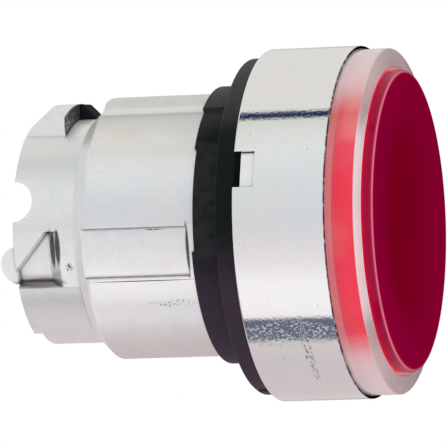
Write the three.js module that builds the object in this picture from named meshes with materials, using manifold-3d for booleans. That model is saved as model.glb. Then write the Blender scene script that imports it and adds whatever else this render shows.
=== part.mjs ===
// The operating head of an illuminated flush push button for a 22 mm panel hole.
//
// Millimetres. The button's axis is Y and +Z is up. The origin is on the axis at the panel's front
// face. The lens looks towards -Y and the bayonet tail reaches through the panel towards +Y.
// Sizes along the axis are written as a distance in front of the panel: what is behind it is negative.
// Angles round the axis are in degrees, measured from the -X side upwards.

import * as THREE from "three";
import { mergeVertices } from "three/addons/utils/BufferGeometryUtils.js";
import Module from "manifold-3d";

const wasm = await Module();
wasm.setup();

// ---------- driving dimensions ----------

const travel = 4.3; // full stroke of the plunger
const runningGap = 0.15; // radial play of a sliding fit
const seatGap = 0.05; // play between pieces that are fastened together
const skirtGap = 0.1; // play between the bezel's skirt and the body's flange
const strokeGap = 0.2; // left between the lens and the body at the end of the stroke
const facets = 40; // sides of every turned piece

// Clamped stack, from the panel's face to the front of the lens
const gasketThickness = 1.6;
const bezelHeadroom = 3.42; // height of the bezel beyond the stroke
const guardProud = 2.68; // how far the clear ring stands out of the bezel
const lensProud = 0.87; // how far the lens stands out of the clear ring

// Bezel
const bezelRadius = 14.6;
const bezelWall = 1.4; // round the body's flange
const bezelEdge = 0.22; // rounding of the front edge
const bezelRim = 0.09; // flat land left on the front edge
const rearChamfer = 0.15;
const crimpReach = 0.6; // how far the rear lip is rolled in behind the body's flange
const crimpHeight = 0.5;
const ledgeThickness = 0.65;

// Body
const barrelRadius = 10.7;
const barrelLength = 12; // behind the panel
const barrelWall = 1.1; // round the return spring
const shoulderLength = 1.3; // of the cone down to the tail, which slopes at 45 degrees
const tailReach = 6.6; // of the tail behind the barrel
const tailWall = 1.8;
const tailRelief = 0.12; // how much the tail's lower half is reduced
const bushStep = 1; // width of the shoulder that stops the guide bush
const bushStepSetBack = 1; // of that shoulder behind the barrel's end
const springFloorDepth = 4; // of the spring's seat behind the panel
const flangeThickness = 2.1;
const flangeFace = 1.8; // width of the flange's face round the diaphragm's seat
const diaphragmSeatDepth = 0.95;

// Rib along the top of the barrel
const ribRise = 0.4;
const ribCrestHalfWidth = 3.1;
const ribHalfWidth = 4.23;
const ribFront = -0.6;

// Key on the flange and its notch in the bezel
const keyAngle = 18.8;
const keyWidth = 2.75;
const keyThickness = 0.9;
const keySetBack = 0.5; // of the key's face inside the bezel's outside
const notchGap = 0.15; // play of the key in the notch, on each side
const notchFloorGap = 0.3;

// Keyway along the side of the barrel
const keywayDepth = 0.5;
const keywayLow = -22;
const keywayHigh = 1.3;
const keywayFront = -3.3;

// Bayonet lug on top of the tail
const lugHalfWidth = 4.92;
const lugLand = 1.9;
const lugSetBack = 0.1; // of the lug's foot from the tail's end
const lugGroove = 1.75; // tail left between the lug and the barrel's shoulder

// Stop block in the groove in front of the lug
const stopHalfWidth = 1.2;
const stopOffset = 0.5; // of the block's middle from the button's upright plane, towards +X
const stopLand = 0.25;
const stopRise = 1.2;
const pegHalfWidth = 0.7;
const pegDepth = 1.4;

// Bayonet recesses in the sides of the tail
const recessDepth = 1.2;
const recessLow = -28.5;
const recessHigh = 3;
const recessLength = 3.9; // from the tail's end to the flank's crest
const slantTop = 0.1; // height of the slanting edge at its front and rear ends
const slantBottom = -3.03;

// Scallop, tab and flat on the tail's rear edge
const scallopRadius = 1.65;
const scallopHeight = 2.66;
const tabRadius = 1.6;
const tabHeight = -2.6;
const tabSetBack = 0.3;
const tabInset = 0.4; // of the tab's outside from the tail's
const heelRise = 1.1; // of the flat above the tail's lowest line
const heelLength = 0.7;
const heelHalfWidth = 4.6;

// Panel gasket
const gasketInset = 0.7; // of its edge inside the bezel's
const gasketChamfer = 0.2;
const sleeveWall = 0.6;
const sleeveLength = 2.84;
const sleeveScallop = 0.25;
const pullTabReach = 0.12;
const pullTabAngle = -83;
const pullTabHalfAngle = 6;

// Clear guard ring
const guardInset = 0.3; // of its outside from the bezel's
const guardShoulderWidth = 0.4;
const guardShoulderDepth = 0.45; // of the bezel's mouth that takes the shoulder
const guardWall = 1.6;
const guardFall = 0.33; // of the ring's front face, from its bore to its outside
const guardEdge = 0.14;
const guardInnerEdge = 0.2;
const guardSealThickness = 0.25;

// Lens and what is under it
const lensGap = 0.2; // between the lens and the clear ring
const lensWall = 1.1;
const lensTop = 1.25;
const lensEdge = 0.32;
const diffuserThickness = 1;
const legendThickness = 0.5;
const plateEdge = 0.12;
const platformThickness = 1.1;

// Plunger and its guides
const bushWall = 1.5;
const bushFlange = 0.75;
const stemRise = 0.75; // of the stem over the part that slides in the bush
const stemGap = 0.55; // left under the stem's step at the end of the stroke
const collarGap = 0.4; // between the collar and the spring bore
const collarThickness = 0.8;
const collarLead = 0.7; // of the collar's front from the flange's
const pusherWall = 1.65;
const pusherSetBack = 3.4; // of the contact feet inside the tail's end
const pusherChamfer = 0.2;
const spigotWall = 0.7;
const spigotLength = 2.5;
const footGap = 6; // between the two contact feet
const footHeight = 2.2;
const clipThickness = 0.5;
const clipDepth = 0.5; // of its groove in the pusher
const clipOpening = 25; // half of the clip's gap, in degrees
const stopThickness = 0.3;
const pinRadius = 0.6;
const pinSetBack = 2.5; // from the bush's rear end
const pinReach = 0.85; // of the pin into the pusher's slot
const pinChamfer = 0.15;

// Seals and the return spring
const bodyRingRadius = 0.28;
const bodyRingSetBack = 0.25; // of its groove from the flange's front
const lensRingRadius = 0.3;
const squeeze = 0.05; // how far a round seal stands out of its groove
const beadThickness = 0.6;
const beadWidth = 1.05;
const membrane = 0.45;
const lipWidth = 0.85;
const lipRise = 0.3;
const retainerThickness = 0.25;
const clampInset = 0.3; // of the clamp ring inside the collar
const clampThickness = 0.5;
const seatThickness = 0.3;
const wireRadius = 0.25;
const coilTurns = 5.5;
const stepsPerTurn = 12;

// ---------- places that follow from them ----------

const bezelRear = gasketThickness + 0.03;
const bezelFront = bezelRear + travel + bezelHeadroom;
const guardFront = bezelFront + guardProud;
const lensFront = guardFront + lensProud;

const skirtBore = bezelRadius - bezelWall;
const flangeRadius = skirtBore - skirtGap;
const flangeRear = bezelRear + crimpHeight + seatGap;
const flangeFront = flangeRear + flangeThickness;
const ledgeRear = flangeFront + seatGap;
const ledgeFront = ledgeRear + ledgeThickness;
const keyFront = flangeRear + keyThickness;
const keyRadius = bezelRadius - keySetBack;

const guardRadius = bezelRadius - guardInset;
const guardShank = guardRadius - guardShoulderWidth;
const guardBore = guardRadius - guardWall;
const guardRear = ledgeFront + guardSealThickness + seatGap;
const guardStep = bezelFront - guardShoulderDepth + seatGap;

const tailRadius = barrelRadius - shoulderLength;
const tailLength = barrelLength + tailReach;
const tailBore = tailRadius - tailWall;
const bushBore = tailBore + bushStep;
const bushBoreEnd = barrelLength + bushStepSetBack;
const springBore = barrelRadius - barrelWall;
const springFloor = -springFloorDepth;
const diaphragmSeatRadius = flangeRadius - flangeFace;
const diaphragmFloor = flangeFront - diaphragmSeatDepth;
const ribRadius = barrelRadius + ribRise;
const lugFront = -barrelLength - shoulderLength - lugGroove;
const recessRadius = tailRadius - recessDepth;
const recessFront = recessLength - tailLength;
const tabOuter = tailRadius - tabInset;
const heelHeight = tailRadius - heelRise;

const gasketRadius = bezelRadius - gasketInset;
const gasketBore = barrelRadius + seatGap;
const sleeveRadius = gasketBore + sleeveWall;

const lensRadius = guardBore - lensGap;
const lensInner = lensRadius - lensWall;
const lensUnder = lensFront - lensTop;
const lensRear = flangeFront + travel + strokeGap;
const discRadius = lensInner - runningGap;
const diffuserRear = lensUnder - seatGap - diffuserThickness;
const legendRear = diffuserRear - seatGap - legendThickness;
const platformFront = legendRear - seatGap;
const platformRear = platformFront - platformThickness;
const platformMiddle = (platformFront + platformRear) / 2;

const bushOuter = bushBore - 2 * seatGap;
const bushInner = bushOuter - bushWall;
const bushFlangeRadius = springBore - 2 * seatGap;
const bushFront = springFloor + seatGap + bushFlange;
const bushRear = seatGap - bushBoreEnd;
const coilSeat = bushFront + seatGap + seatThickness;
const slideRadius = bushInner - runningGap;
const stemRadius = slideRadius + stemRise;
const stemFoot = coilSeat + stemGap + travel;
const collarRadius = springBore - collarGap;
const collarFront = flangeFront + collarLead;
const collarRear = collarFront - collarThickness;
const pusherBore = slideRadius - pusherWall;
const spigotRadius = pusherBore + spigotWall;
const spigotBore = spigotRadius + runningGap / 2;
const pusherFront = springFloor - 2 * seatGap;
const pusherEnd = pusherSetBack - tailLength;
const pinAxis = pinSetBack - bushBoreEnd;
const stopFront = bushRear - seatGap;
const clipFront = stopFront - stopThickness - seatGap;

const beadFront = diaphragmFloor + seatGap + beadThickness;
const beadOuter = diaphragmSeatRadius - 2 * seatGap;
const retainerRear = beadFront + seatGap;
const membraneRear = collarFront + 2 * seatGap;
const clampRear = membraneRear + membrane + lipRise + seatGap;
const coilRadius = (stemRadius + collarRadius) / 2;

// ---------- helpers ----------

// A closed surface made from a geometry, with its seams joined, for cutting and joining.
function solid(geometry) {
  const bare = geometry.clone();
  bare.deleteAttribute("normal");
  bare.deleteAttribute("uv");
  const merged = mergeVertices(bare, 1e-4);
  const triVerts = new Uint32Array(merged.index.array);
  return new wasm.Manifold(
    new wasm.Mesh({ numProp: 3, vertProperties: merged.attributes.position.array, triVerts }),
  );
}

function geometryOf(made) {
  const mesh = made.getMesh();
  const geometry = new THREE.BufferGeometry();
  geometry.setAttribute("position", new THREE.BufferAttribute(mesh.vertProperties, 3));
  geometry.setIndex(new THREE.BufferAttribute(mesh.triVerts, 1));
  geometry.computeVertexNormals();
  return geometry;
}

// Twice the area inside a closed outline, positive when it runs anticlockwise.
function turning(points) {
  return points.reduce((sum, [x, y], i) => {
    const [nextX, nextY] = points[(i + 1) % points.length];
    return sum + x * nextY - nextX * y;
  }, 0);
}

// A ring or disc turned about the axis. The outline is a list of [radius, distance in front].
function turned(outline) {
  const points = outline.map(([radius, front]) => [radius, -front]);
  if (turning(points) < 0) points.reverse();
  const touchesAxis = points.filter(([radius]) => radius === 0).length;
  if (touchesAxis) {
    while (points[0][0] !== 0 || points.at(-1)[0] !== 0) points.push(points.shift());
  } else {
    points.push(points[0]);
  }
  const profile = points.map(([radius, along]) => new THREE.Vector2(radius, along));
  return new THREE.LatheGeometry(profile, facets);
}

// A plain ring with a rectangular section.
function ring(inner, outer, rear, front) {
  return turned([[inner, rear], [outer, rear], [outer, front], [inner, front]]);
}

// A ring with a round section, as an O-ring has.
function roundRing(radius, front, sectionRadius, sides = 6) {
  const outline = [];
  for (let i = 0; i < sides; i += 1) {
    const turn = ((i + 0.5) / sides) * 2 * Math.PI;
    outline.push([radius + sectionRadius * Math.cos(turn), front + sectionRadius * Math.sin(turn)]);
  }
  return turned(outline);
}

// A point on a circle about the axis, in the X-Z plane.
function onCircle(radius, degrees) {
  const angle = THREE.MathUtils.degToRad(degrees);
  return [-radius * Math.cos(angle), radius * Math.sin(angle)];
}

// An outline in the X-Z plane, carried along the axis.
function alongAxis(outline, rear, front) {
  const shape = new THREE.Shape(outline.map(([x, z]) => new THREE.Vector2(x, z)));
  const geometry = new THREE.ExtrudeGeometry(shape, { depth: front - rear, bevelEnabled: false });
  return geometry.rotateX(Math.PI / 2).translate(0, -rear, 0);
}

// An outline of [distance in front, height], carried across the button along X.
function alongX(outline, fromX, toX) {
  const shape = new THREE.Shape(outline.map(([front, height]) => new THREE.Vector2(front, height)));
  const geometry = new THREE.ExtrudeGeometry(shape, { depth: toX - fromX, bevelEnabled: false });
  return geometry.rotateY(-Math.PI / 2).rotateX(Math.PI / 2).translate(toX, 0, 0);
}

// A slice of a ring between two angles.
function sector(inner, outer, fromDegrees, toDegrees, rear, front) {
  const steps = Math.max(2, Math.ceil((toDegrees - fromDegrees) / 9));
  const angles = Array.from({ length: steps + 1 }, (_, i) => {
    return fromDegrees + ((toDegrees - fromDegrees) * i) / steps;
  });
  const outside = angles.map((degrees) => onCircle(outer, degrees));
  const inside = angles.map((degrees) => onCircle(inner, degrees)).reverse();
  return alongAxis([...outside, ...inside], rear, front);
}

// A block that stands out from the axis at an angle.
function radialBlock(width, inner, outer, degrees, rear, front) {
  const block = new THREE.BoxGeometry(outer - inner, front - rear, width);
  block.translate(-(inner + outer) / 2, -(rear + front) / 2, 0);
  return block.rotateY(THREE.MathUtils.degToRad(degrees));
}

function disc(centreFront, centreHeight, radius, sides = 20) {
  return Array.from({ length: sides }, (_, i) => {
    const turn = (i / sides) * 2 * Math.PI;
    return [centreFront + radius * Math.cos(turn), centreHeight + radius * Math.sin(turn)];
  });
}

// ---------- fixed pieces ----------

// The raised rib along the top of the barrel, with a curved crest and sloping sides.
function ribOutline(grow) {
  const crestAngle = THREE.MathUtils.radToDeg(Math.asin(ribCrestHalfWidth / ribRadius));
  const crest = [-1, -0.5, 0, 0.5, 1].map((share) => {
    return onCircle(ribRadius + grow, 90 + share * crestAngle);
  });
  const footHeight = Math.sqrt(barrelRadius ** 2 - ribHalfWidth ** 2);
  const half = ribHalfWidth + grow;
  const base = barrelRadius - barrelWall;
  return [[-half, base], [-half, footHeight], ...crest, [half, footHeight], [half, base]];
}

// The lug on top of the tail, with a sloping lead-in behind and a square locking face in front.
function bayonetLug() {
  const foot = lugSetBack - tailLength;
  const wedge = turned([
    [recessRadius, foot],
    [tailRadius, foot],
    [barrelRadius, lugFront - lugLand],
    [barrelRadius, lugFront],
    [recessRadius, lugFront],
  ]);
  const top = barrelRadius + 1;
  const window = alongAxis(
    [[-lugHalfWidth, 0], [lugHalfWidth, 0], [lugHalfWidth, top], [-lugHalfWidth, top]],
    -tailLength,
    -barrelLength,
  );
  return solid(wedge).intersect(solid(window));
}

// The bayonet recess in the side of the tail: a lowered floor with a slanting upper edge.
function bayonetRecess() {
  const beyond = tailLength + 2;
  const outer = barrelRadius + 1;
  const floor = turned([
    [recessRadius, -beyond],
    [outer, -beyond],
    [outer, recessFront + outer - tailRadius],
    [recessRadius, recessFront - recessDepth],
  ]);
  const slice = sector(recessRadius - 1, outer + 1, recessLow, recessHigh, -beyond, -barrelLength);
  const slant = alongX(
    [[recessFront - recessDepth, slantTop], [-tailLength, slantBottom], [-beyond, 2 * slantBottom],
      [-beyond, -outer], [-barrelLength, -outer], [-barrelLength, slantTop]],
    -outer - 1,
    0,
  );
  return solid(floor).intersect(solid(slice)).intersect(solid(slant));
}

function barrelOutside() {
  const shoulder = -barrelLength - shoulderLength;
  return turned([
    [0, -tailLength],
    [tailRadius, -tailLength],
    [tailRadius, shoulder],
    [barrelRadius, -barrelLength],
    [barrelRadius, flangeRear],
    [flangeRadius, flangeRear],
    [flangeRadius, flangeFront],
    [0, flangeFront],
  ]);
}

function barrelInside() {
  const past = 1;
  return turned([
    [0, -tailLength - 2 * past],
    [tailBore, -tailLength - 2 * past],
    [tailBore, -bushBoreEnd],
    [bushBore, -bushBoreEnd],
    [bushBore, springFloor],
    [springBore, springFloor],
    [springBore, diaphragmFloor],
    [diaphragmSeatRadius, diaphragmFloor],
    [diaphragmSeatRadius, flangeFront + past],
    [0, flangeFront + past],
  ]);
}

function barrelBody() {
  const ringGroove = ring(
    flangeRadius - 2 * bodyRingRadius,
    flangeRadius + 1,
    flangeFront - bodyRingSetBack - 2.5 * bodyRingRadius,
    flangeFront - bodyRingSetBack,
  );
  const rib = alongAxis(ribOutline(0), -barrelLength, ribFront);
  const key = radialBlock(keyWidth, barrelRadius, keyRadius, keyAngle, flangeRear, keyFront);
  const tab = solid(sector(tailBore - 1, tabOuter, -35, 10, -tailLength - 2, 1 - tailLength)).intersect(
    solid(alongX(disc(tabSetBack - tailLength, tabHeight, tabRadius), -tabOuter - 1, 0)),
  );
  const keyway = sector(
    barrelRadius - keywayDepth,
    barrelRadius + 1,
    keywayLow,
    keywayHigh,
    -barrelLength - 1,
    keywayFront,
  );
  const scallop = alongX(disc(-tailLength, scallopHeight, scallopRadius), -tailRadius - 1, -1);
  const heel = alongX(
    [[-tailLength - 1, -heelHeight - 3], [heelLength - tailLength, -heelHeight - 3],
      [heelLength - tailLength, -heelHeight], [-tailLength - 1, -heelHeight]],
    -heelHalfWidth,
    heelHalfWidth,
  );
  const relief = sector(
    tailRadius - tailRelief,
    barrelRadius + 1,
    -180 - recessLow,
    recessLow,
    -tailLength - 1,
    tailRelief - barrelLength - shoulderLength,
  );
  const recess = bayonetRecess();
  const oppositeRecess = recess.rotate([0, 180, 0]);
  // what is left of the tab inside the tail's end, so that the recess's floor stays clear of it
  const clearTab = tab.subtract(recess.trimByPlane([0, -1, 0], -tailLength));
  const body = solid(barrelOutside())
    .add(solid(rib))
    .add(solid(key))
    .subtract(solid(ringGroove))
    .subtract(solid(keyway))
    .subtract(recess)
    .subtract(oppositeRecess)
    .subtract(solid(relief))
    .subtract(solid(scallop))
    .add(bayonetLug())
    .add(clearTab)
    .subtract(solid(heel))
    .subtract(solid(stopPeg(seatGap)))
    .subtract(solid(barrelInside()));
  return geometryOf(body);
}

// The part of the stop block that is pressed into the tail's wall.
function stopPeg(grow) {
  const half = pegHalfWidth + grow;
  const middle = lugFront + lugGroove / 2;
  const base = tailRadius - pegDepth - grow;
  const block = new THREE.BoxGeometry(2 * half, 2 * half, tailRadius - base);
  return block.translate(stopOffset, -middle, (tailRadius + base) / 2);
}

// A moulded block in the groove in front of the lug, with a 45 degree front.
function bayonetStop() {
  const foot = tailRadius + seatGap;
  const rear = lugFront + seatGap;
  const profile = [
    [rear, foot],
    [rear, foot + stopRise],
    [rear + stopLand, foot + stopRise],
    [rear + stopLand + stopRise, foot],
  ];
  const block = alongX(profile, stopOffset - stopHalfWidth, stopOffset + stopHalfWidth);
  return geometryOf(solid(block).add(solid(stopPeg(0).translate(0, 0, 2 * seatGap))));
}

function bezelRing() {
  const mouth = guardRadius + seatGap / 2;
  const shank = guardShank + seatGap;
  const lip = skirtBore - crimpReach;
  const edge = bezelFront - bezelEdge;
  const outline = turned([
    [lip, bezelRear],
    [bezelRadius - rearChamfer, bezelRear],
    [bezelRadius, bezelRear + rearChamfer],
    [bezelRadius, edge],
    [(bezelRadius + mouth + bezelRim) / 2, edge + 0.7 * bezelEdge],
    [mouth + bezelRim, bezelFront],
    [mouth, bezelFront],
    [mouth, bezelFront - guardShoulderDepth],
    [shank, bezelFront - guardShoulderDepth],
    [shank, ledgeFront],
    [guardBore, ledgeFront],
    [guardBore, ledgeRear],
    [skirtBore, ledgeRear],
    [skirtBore, bezelRear + crimpHeight],
    [lip, bezelRear + crimpHeight],
  ]);
  const notch = radialBlock(
    keyWidth + 2 * notchGap,
    barrelRadius,
    bezelRadius + 1,
    keyAngle,
    bezelRear - 1,
    keyFront + notchFloorGap,
  );
  return geometryOf(solid(outline).subtract(solid(notch)));
}

function guardRing() {
  return turned([
    [guardBore, guardRear],
    [guardShank, guardRear],
    [guardShank, guardStep],
    [guardRadius, guardStep],
    [guardRadius, guardFront - guardFall - guardEdge],
    [guardRadius - guardEdge, guardFront - guardFall],
    [guardBore + guardInnerEdge, guardFront],
    [guardBore, guardFront - guardInnerEdge],
  ]);
}

function panelGasket() {
  const flat = turned([
    [gasketBore, -sleeveLength],
    [sleeveRadius - gasketChamfer, -sleeveLength],
    [sleeveRadius, gasketChamfer - sleeveLength],
    [sleeveRadius, 0],
    [gasketRadius - gasketChamfer, 0],
    [gasketRadius, gasketChamfer],
    [gasketRadius, gasketThickness],
    [gasketBore, gasketThickness],
  ]);
  const bumpAngle = THREE.MathUtils.radToDeg(2 * Math.asin(ribCrestHalfWidth / ribRadius));
  const bump = sector(
    gasketBore,
    ribRadius + sleeveWall,
    90 - bumpAngle,
    90 + bumpAngle,
    -sleeveLength,
    gasketThickness / 2,
  );
  const pullTab = sector(
    sleeveRadius,
    gasketRadius + pullTabReach,
    pullTabAngle - pullTabHalfAngle,
    pullTabAngle + pullTabHalfAngle,
    gasketChamfer,
    gasketThickness,
  );
  const ribRoom = alongAxis(ribOutline(seatGap), -barrelLength, ribFront + 2 * seatGap);
  const scallop = sector(
    gasketBore - 1,
    sleeveRadius + 1,
    -10,
    36,
    -barrelLength,
    sleeveScallop - sleeveLength,
  );
  const made = solid(flat)
    .add(solid(bump))
    .add(solid(pullTab))
    .subtract(solid(ribRoom))
    .subtract(solid(scallop));
  return geometryOf(made);
}

function guardSeal() {
  return ring(guardBore + seatGap, guardShank, ledgeFront, ledgeFront + guardSealThickness);
}

function bodyRing() {
  const middle = flangeFront - bodyRingSetBack - 1.25 * bodyRingRadius;
  return roundRing(flangeRadius - bodyRingRadius + squeeze, middle, bodyRingRadius);
}

// The rolling diaphragm: a clamped bead, a wall round the collar, and a lip on the stem.
function diaphragmSeal() {
  const wall = collarRadius + 4 * seatGap;
  const lip = stemRadius + seatGap;
  return turned([
    [wall, diaphragmFloor + seatGap],
    [beadOuter, diaphragmFloor + seatGap],
    [beadOuter, beadFront],
    [beadOuter - beadWidth, beadFront],
    [wall + membrane, beadFront + membrane / 2],
    [wall + membrane, membraneRear + membrane],
    [lip + lipWidth, membraneRear + membrane],
    [lip + lipWidth, membraneRear + membrane + lipRise],
    [lip, membraneRear + membrane + lipRise],
    [lip, membraneRear],
    [wall, membraneRear],
  ]);
}

function diaphragmRetainer() {
  const outer = diaphragmSeatRadius - seatGap;
  return ring(beadOuter - beadWidth, outer, retainerRear, retainerRear + retainerThickness);
}

function guideBush() {
  const underFlange = springFloor + seatGap;
  const tube = turned([
    [bushInner, bushRear],
    [bushOuter, bushRear],
    [bushOuter, underFlange],
    [bushFlangeRadius, underFlange],
    [bushFlangeRadius, bushFront],
    [bushInner, bushFront],
  ]);
  const pinHole = new THREE.CylinderGeometry(pinRadius + seatGap, pinRadius + seatGap, 4, 16);
  pinHole.rotateX(Math.PI / 2).translate(0, -pinAxis, bushInner + bushWall / 2);
  return geometryOf(solid(tube).subtract(solid(pinHole)));
}

// A pin through the bush, whose tip runs in the pusher's slot.
function antiTurnPin() {
  const tip = slideRadius - pinReach;
  const head = bushOuter - seatGap;
  const outline = [
    [0, tip],
    [pinRadius - pinChamfer, tip],
    [pinRadius, tip + pinChamfer],
    [pinRadius, head],
    [0, head],
  ].map(([radius, height]) => new THREE.Vector2(radius, height));
  return new THREE.LatheGeometry(outline, 16).rotateX(Math.PI / 2).translate(0, -pinAxis, 0);
}

function springSeat() {
  return ring(bushInner + seatGap, bushFlangeRadius - 2 * seatGap, bushFront + seatGap, coilSeat);
}

// The return spring stands between the washer on the guide bush and the carrier's collar.
function returnSpring() {
  const rear = coilSeat + seatGap + wireRadius;
  const front = collarRear - seatGap - wireRadius;
  class Coil extends THREE.Curve {
    getPoint(share, target = new THREE.Vector3()) {
      const turn = share * coilTurns * 2 * Math.PI;
      const along = THREE.MathUtils.lerp(rear, front, share);
      return target.set(coilRadius * Math.sin(turn), -along, coilRadius * Math.cos(turn));
    }
  }
  const section = new THREE.Shape();
  section.absarc(0, 0, wireRadius, 0, 2 * Math.PI);
  return new THREE.ExtrudeGeometry(section, {
    steps: Math.round(coilTurns * stepsPerTurn),
    curveSegments: 3,
    extrudePath: new Coil(),
  });
}

// ---------- pieces that move with the lens ----------

function lensCap() {
  return turned([
    [0, lensFront],
    [lensRadius - lensEdge, lensFront],
    [lensRadius - 0.3 * lensEdge, lensFront - 0.3 * lensEdge],
    [lensRadius, lensFront - lensEdge],
    [lensRadius, lensRear],
    [lensInner, lensRear],
    [lensInner, lensUnder],
    [0, lensUnder],
  ]);
}

// A round plate under the lens.
function plate(rear, thickness) {
  const front = rear + thickness;
  return turned([
    [0, rear],
    [discRadius - plateEdge, rear],
    [discRadius, rear + plateEdge],
    [discRadius, front - plateEdge],
    [discRadius - plateEdge, front],
    [0, front],
  ]);
}

function lensCarrier() {
  const grooveHalf = lensRingRadius + seatGap;
  const grooveFloor = discRadius - 2 * lensRingRadius;
  return turned([
    [spigotBore, springFloor],
    [slideRadius, springFloor],
    [slideRadius, stemFoot],
    [stemRadius, stemFoot],
    [stemRadius, collarRear],
    [collarRadius, collarRear],
    [collarRadius, collarFront],
    [stemRadius, collarFront],
    [stemRadius, platformRear],
    [discRadius, platformRear],
    [discRadius, platformMiddle - grooveHalf],
    [grooveFloor, platformMiddle - grooveHalf],
    [grooveFloor, platformMiddle + grooveHalf],
    [discRadius, platformMiddle + grooveHalf],
    [discRadius, platformFront],
    [spigotBore, platformFront],
  ]);
}

function lensSeal() {
  return roundRing(discRadius - lensRingRadius + squeeze, platformMiddle, lensRingRadius);
}

function diaphragmClampRing() {
  return ring(stemRadius + seatGap, collarRadius - clampInset, clampRear, clampRear + clampThickness);
}

function pusherSleeve() {
  const groove = clipFront - clipThickness - seatGap;
  const grooveRadius = slideRadius - clipDepth - seatGap;
  const sleeve = turned([
    [pusherBore, pusherEnd],
    [slideRadius - pusherChamfer, pusherEnd],
    [slideRadius, pusherEnd + pusherChamfer],
    [slideRadius, groove],
    [grooveRadius, groove],
    [grooveRadius, clipFront + seatGap],
    [slideRadius, clipFront + seatGap],
    [slideRadius, pusherFront],
    [spigotRadius, pusherFront],
    [spigotRadius, pusherFront + spigotLength],
    [pusherBore, pusherFront + spigotLength],
  ]);
  const betweenFeet = new THREE.BoxGeometry(footGap, footHeight * 2, 4 * slideRadius);
  betweenFeet.translate(0, -pusherEnd, 0);
  // The slot starts where the pin stands at rest and leaves room for the whole stroke.
  const slotHalf = pinRadius + runningGap;
  const slot = new THREE.BoxGeometry(2 * slotHalf, travel + 2 * slotHalf, 2 * pusherWall + 1);
  slot.translate(0, -(pinAxis + travel / 2), slideRadius);
  return geometryOf(solid(sleeve).subtract(solid(betweenFeet)).subtract(solid(slot)));
}

function stopWasher() {
  return ring(slideRadius + 2 * seatGap, tailBore - 2 * seatGap, stopFront - stopThickness, stopFront);
}

function pusherClip() {
  const inner = slideRadius - clipDepth;
  const outer = tailBore - runningGap;
  return sector(inner, outer, clipOpening - 90, 270 - clipOpening, clipFront - clipThickness, clipFront);
}

// ---------- assembly ----------

const finishes = {
  zinc: { color: 0xc9cac8, roughness: 0.35, metalness: 1 },
  chrome: { color: 0xdfe2e4, roughness: 0.08, metalness: 1 },
  steel: { color: 0xb4b7ba, roughness: 0.3, metalness: 1 },
  clear: { color: 0xf4eef0, roughness: 0.05, metalness: 0, transparent: true, opacity: 0.35 },
  red: { color: 0xb80f2e, roughness: 0.15, metalness: 0 },
  white: { color: 0xf0efe8, roughness: 0.5, metalness: 0 },
  black: { color: 0x141517, roughness: 0.5, metalness: 0 },
  rubber: { color: 0x101413, roughness: 0.8, metalness: 0 },
};

function piece(name, finish, geometry) {
  const mesh = new THREE.Mesh(geometry, new THREE.MeshStandardMaterial(finishes[finish]));
  mesh.name = name;
  return mesh;
}

const fixed = new THREE.Group();
fixed.add(
  piece("barrel_body", "zinc", barrelBody()),
  piece("bayonet_stop", "black", bayonetStop()),
  piece("bezel_ring", "chrome", bezelRing()),
  piece("guard_ring", "clear", guardRing()),
  piece("guard_seal", "rubber", guardSeal()),
  piece("body_o_ring", "rubber", bodyRing()),
  piece("panel_gasket", "rubber", panelGasket()),
  piece("diaphragm_seal", "rubber", diaphragmSeal()),
  piece("diaphragm_retainer", "steel", diaphragmRetainer()),
  piece("guide_bush", "white", guideBush()),
  piece("anti_turn_pin", "steel", antiTurnPin()),
  piece("spring_seat", "steel", springSeat()),
  piece("return_spring", "steel", returnSpring()),
);

const plunger = new THREE.Group();
plunger.add(
  piece("lens_cap", "red", lensCap()),
  piece("lens_seal", "rubber", lensSeal()),
  piece("diffuser_disc", "white", plate(diffuserRear, diffuserThickness)),
  piece("legend_insert", "white", plate(legendRear, legendThickness)),
  piece("lens_carrier", "black", lensCarrier()),
  piece("diaphragm_clamp_ring", "steel", diaphragmClampRing()),
  piece("pusher_sleeve", "black", pusherSleeve()),
  piece("stop_washer", "rubber", stopWasher()),
  piece("pusher_clip", "steel", pusherClip()),
);

const pushButtonHead = new THREE.Group();
pushButtonHead.add(fixed, plunger);

export default pushButtonHead;
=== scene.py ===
import math

import bpy
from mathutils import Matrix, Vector


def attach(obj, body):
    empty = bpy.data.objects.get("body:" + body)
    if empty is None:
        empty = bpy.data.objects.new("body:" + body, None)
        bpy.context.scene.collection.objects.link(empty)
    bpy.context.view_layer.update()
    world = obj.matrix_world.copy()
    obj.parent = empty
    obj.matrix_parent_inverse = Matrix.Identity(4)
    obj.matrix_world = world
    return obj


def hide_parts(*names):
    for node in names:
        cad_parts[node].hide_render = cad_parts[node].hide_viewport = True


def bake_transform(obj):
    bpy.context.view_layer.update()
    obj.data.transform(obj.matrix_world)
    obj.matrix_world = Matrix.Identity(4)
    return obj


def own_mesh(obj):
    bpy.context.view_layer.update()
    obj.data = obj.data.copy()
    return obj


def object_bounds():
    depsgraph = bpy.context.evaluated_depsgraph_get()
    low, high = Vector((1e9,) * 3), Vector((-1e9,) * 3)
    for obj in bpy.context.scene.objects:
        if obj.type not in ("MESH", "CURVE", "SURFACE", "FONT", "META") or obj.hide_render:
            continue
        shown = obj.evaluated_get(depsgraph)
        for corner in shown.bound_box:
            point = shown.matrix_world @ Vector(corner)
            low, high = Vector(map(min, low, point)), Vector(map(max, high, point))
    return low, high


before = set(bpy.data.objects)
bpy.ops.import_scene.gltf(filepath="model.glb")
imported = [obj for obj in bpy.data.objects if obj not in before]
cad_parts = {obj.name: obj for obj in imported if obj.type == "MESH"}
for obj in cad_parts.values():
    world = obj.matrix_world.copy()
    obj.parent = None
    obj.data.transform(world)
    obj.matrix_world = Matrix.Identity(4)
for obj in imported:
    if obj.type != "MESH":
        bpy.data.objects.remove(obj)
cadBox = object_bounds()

# The head of an illuminated push button. Its axis is Y, the lens looks towards -Y and +Z is up.
# Sizes are in millimetres. "front" is a distance in front of the panel, negative behind it.
# Angles round the axis are in degrees, from the -X side upwards.

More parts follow.
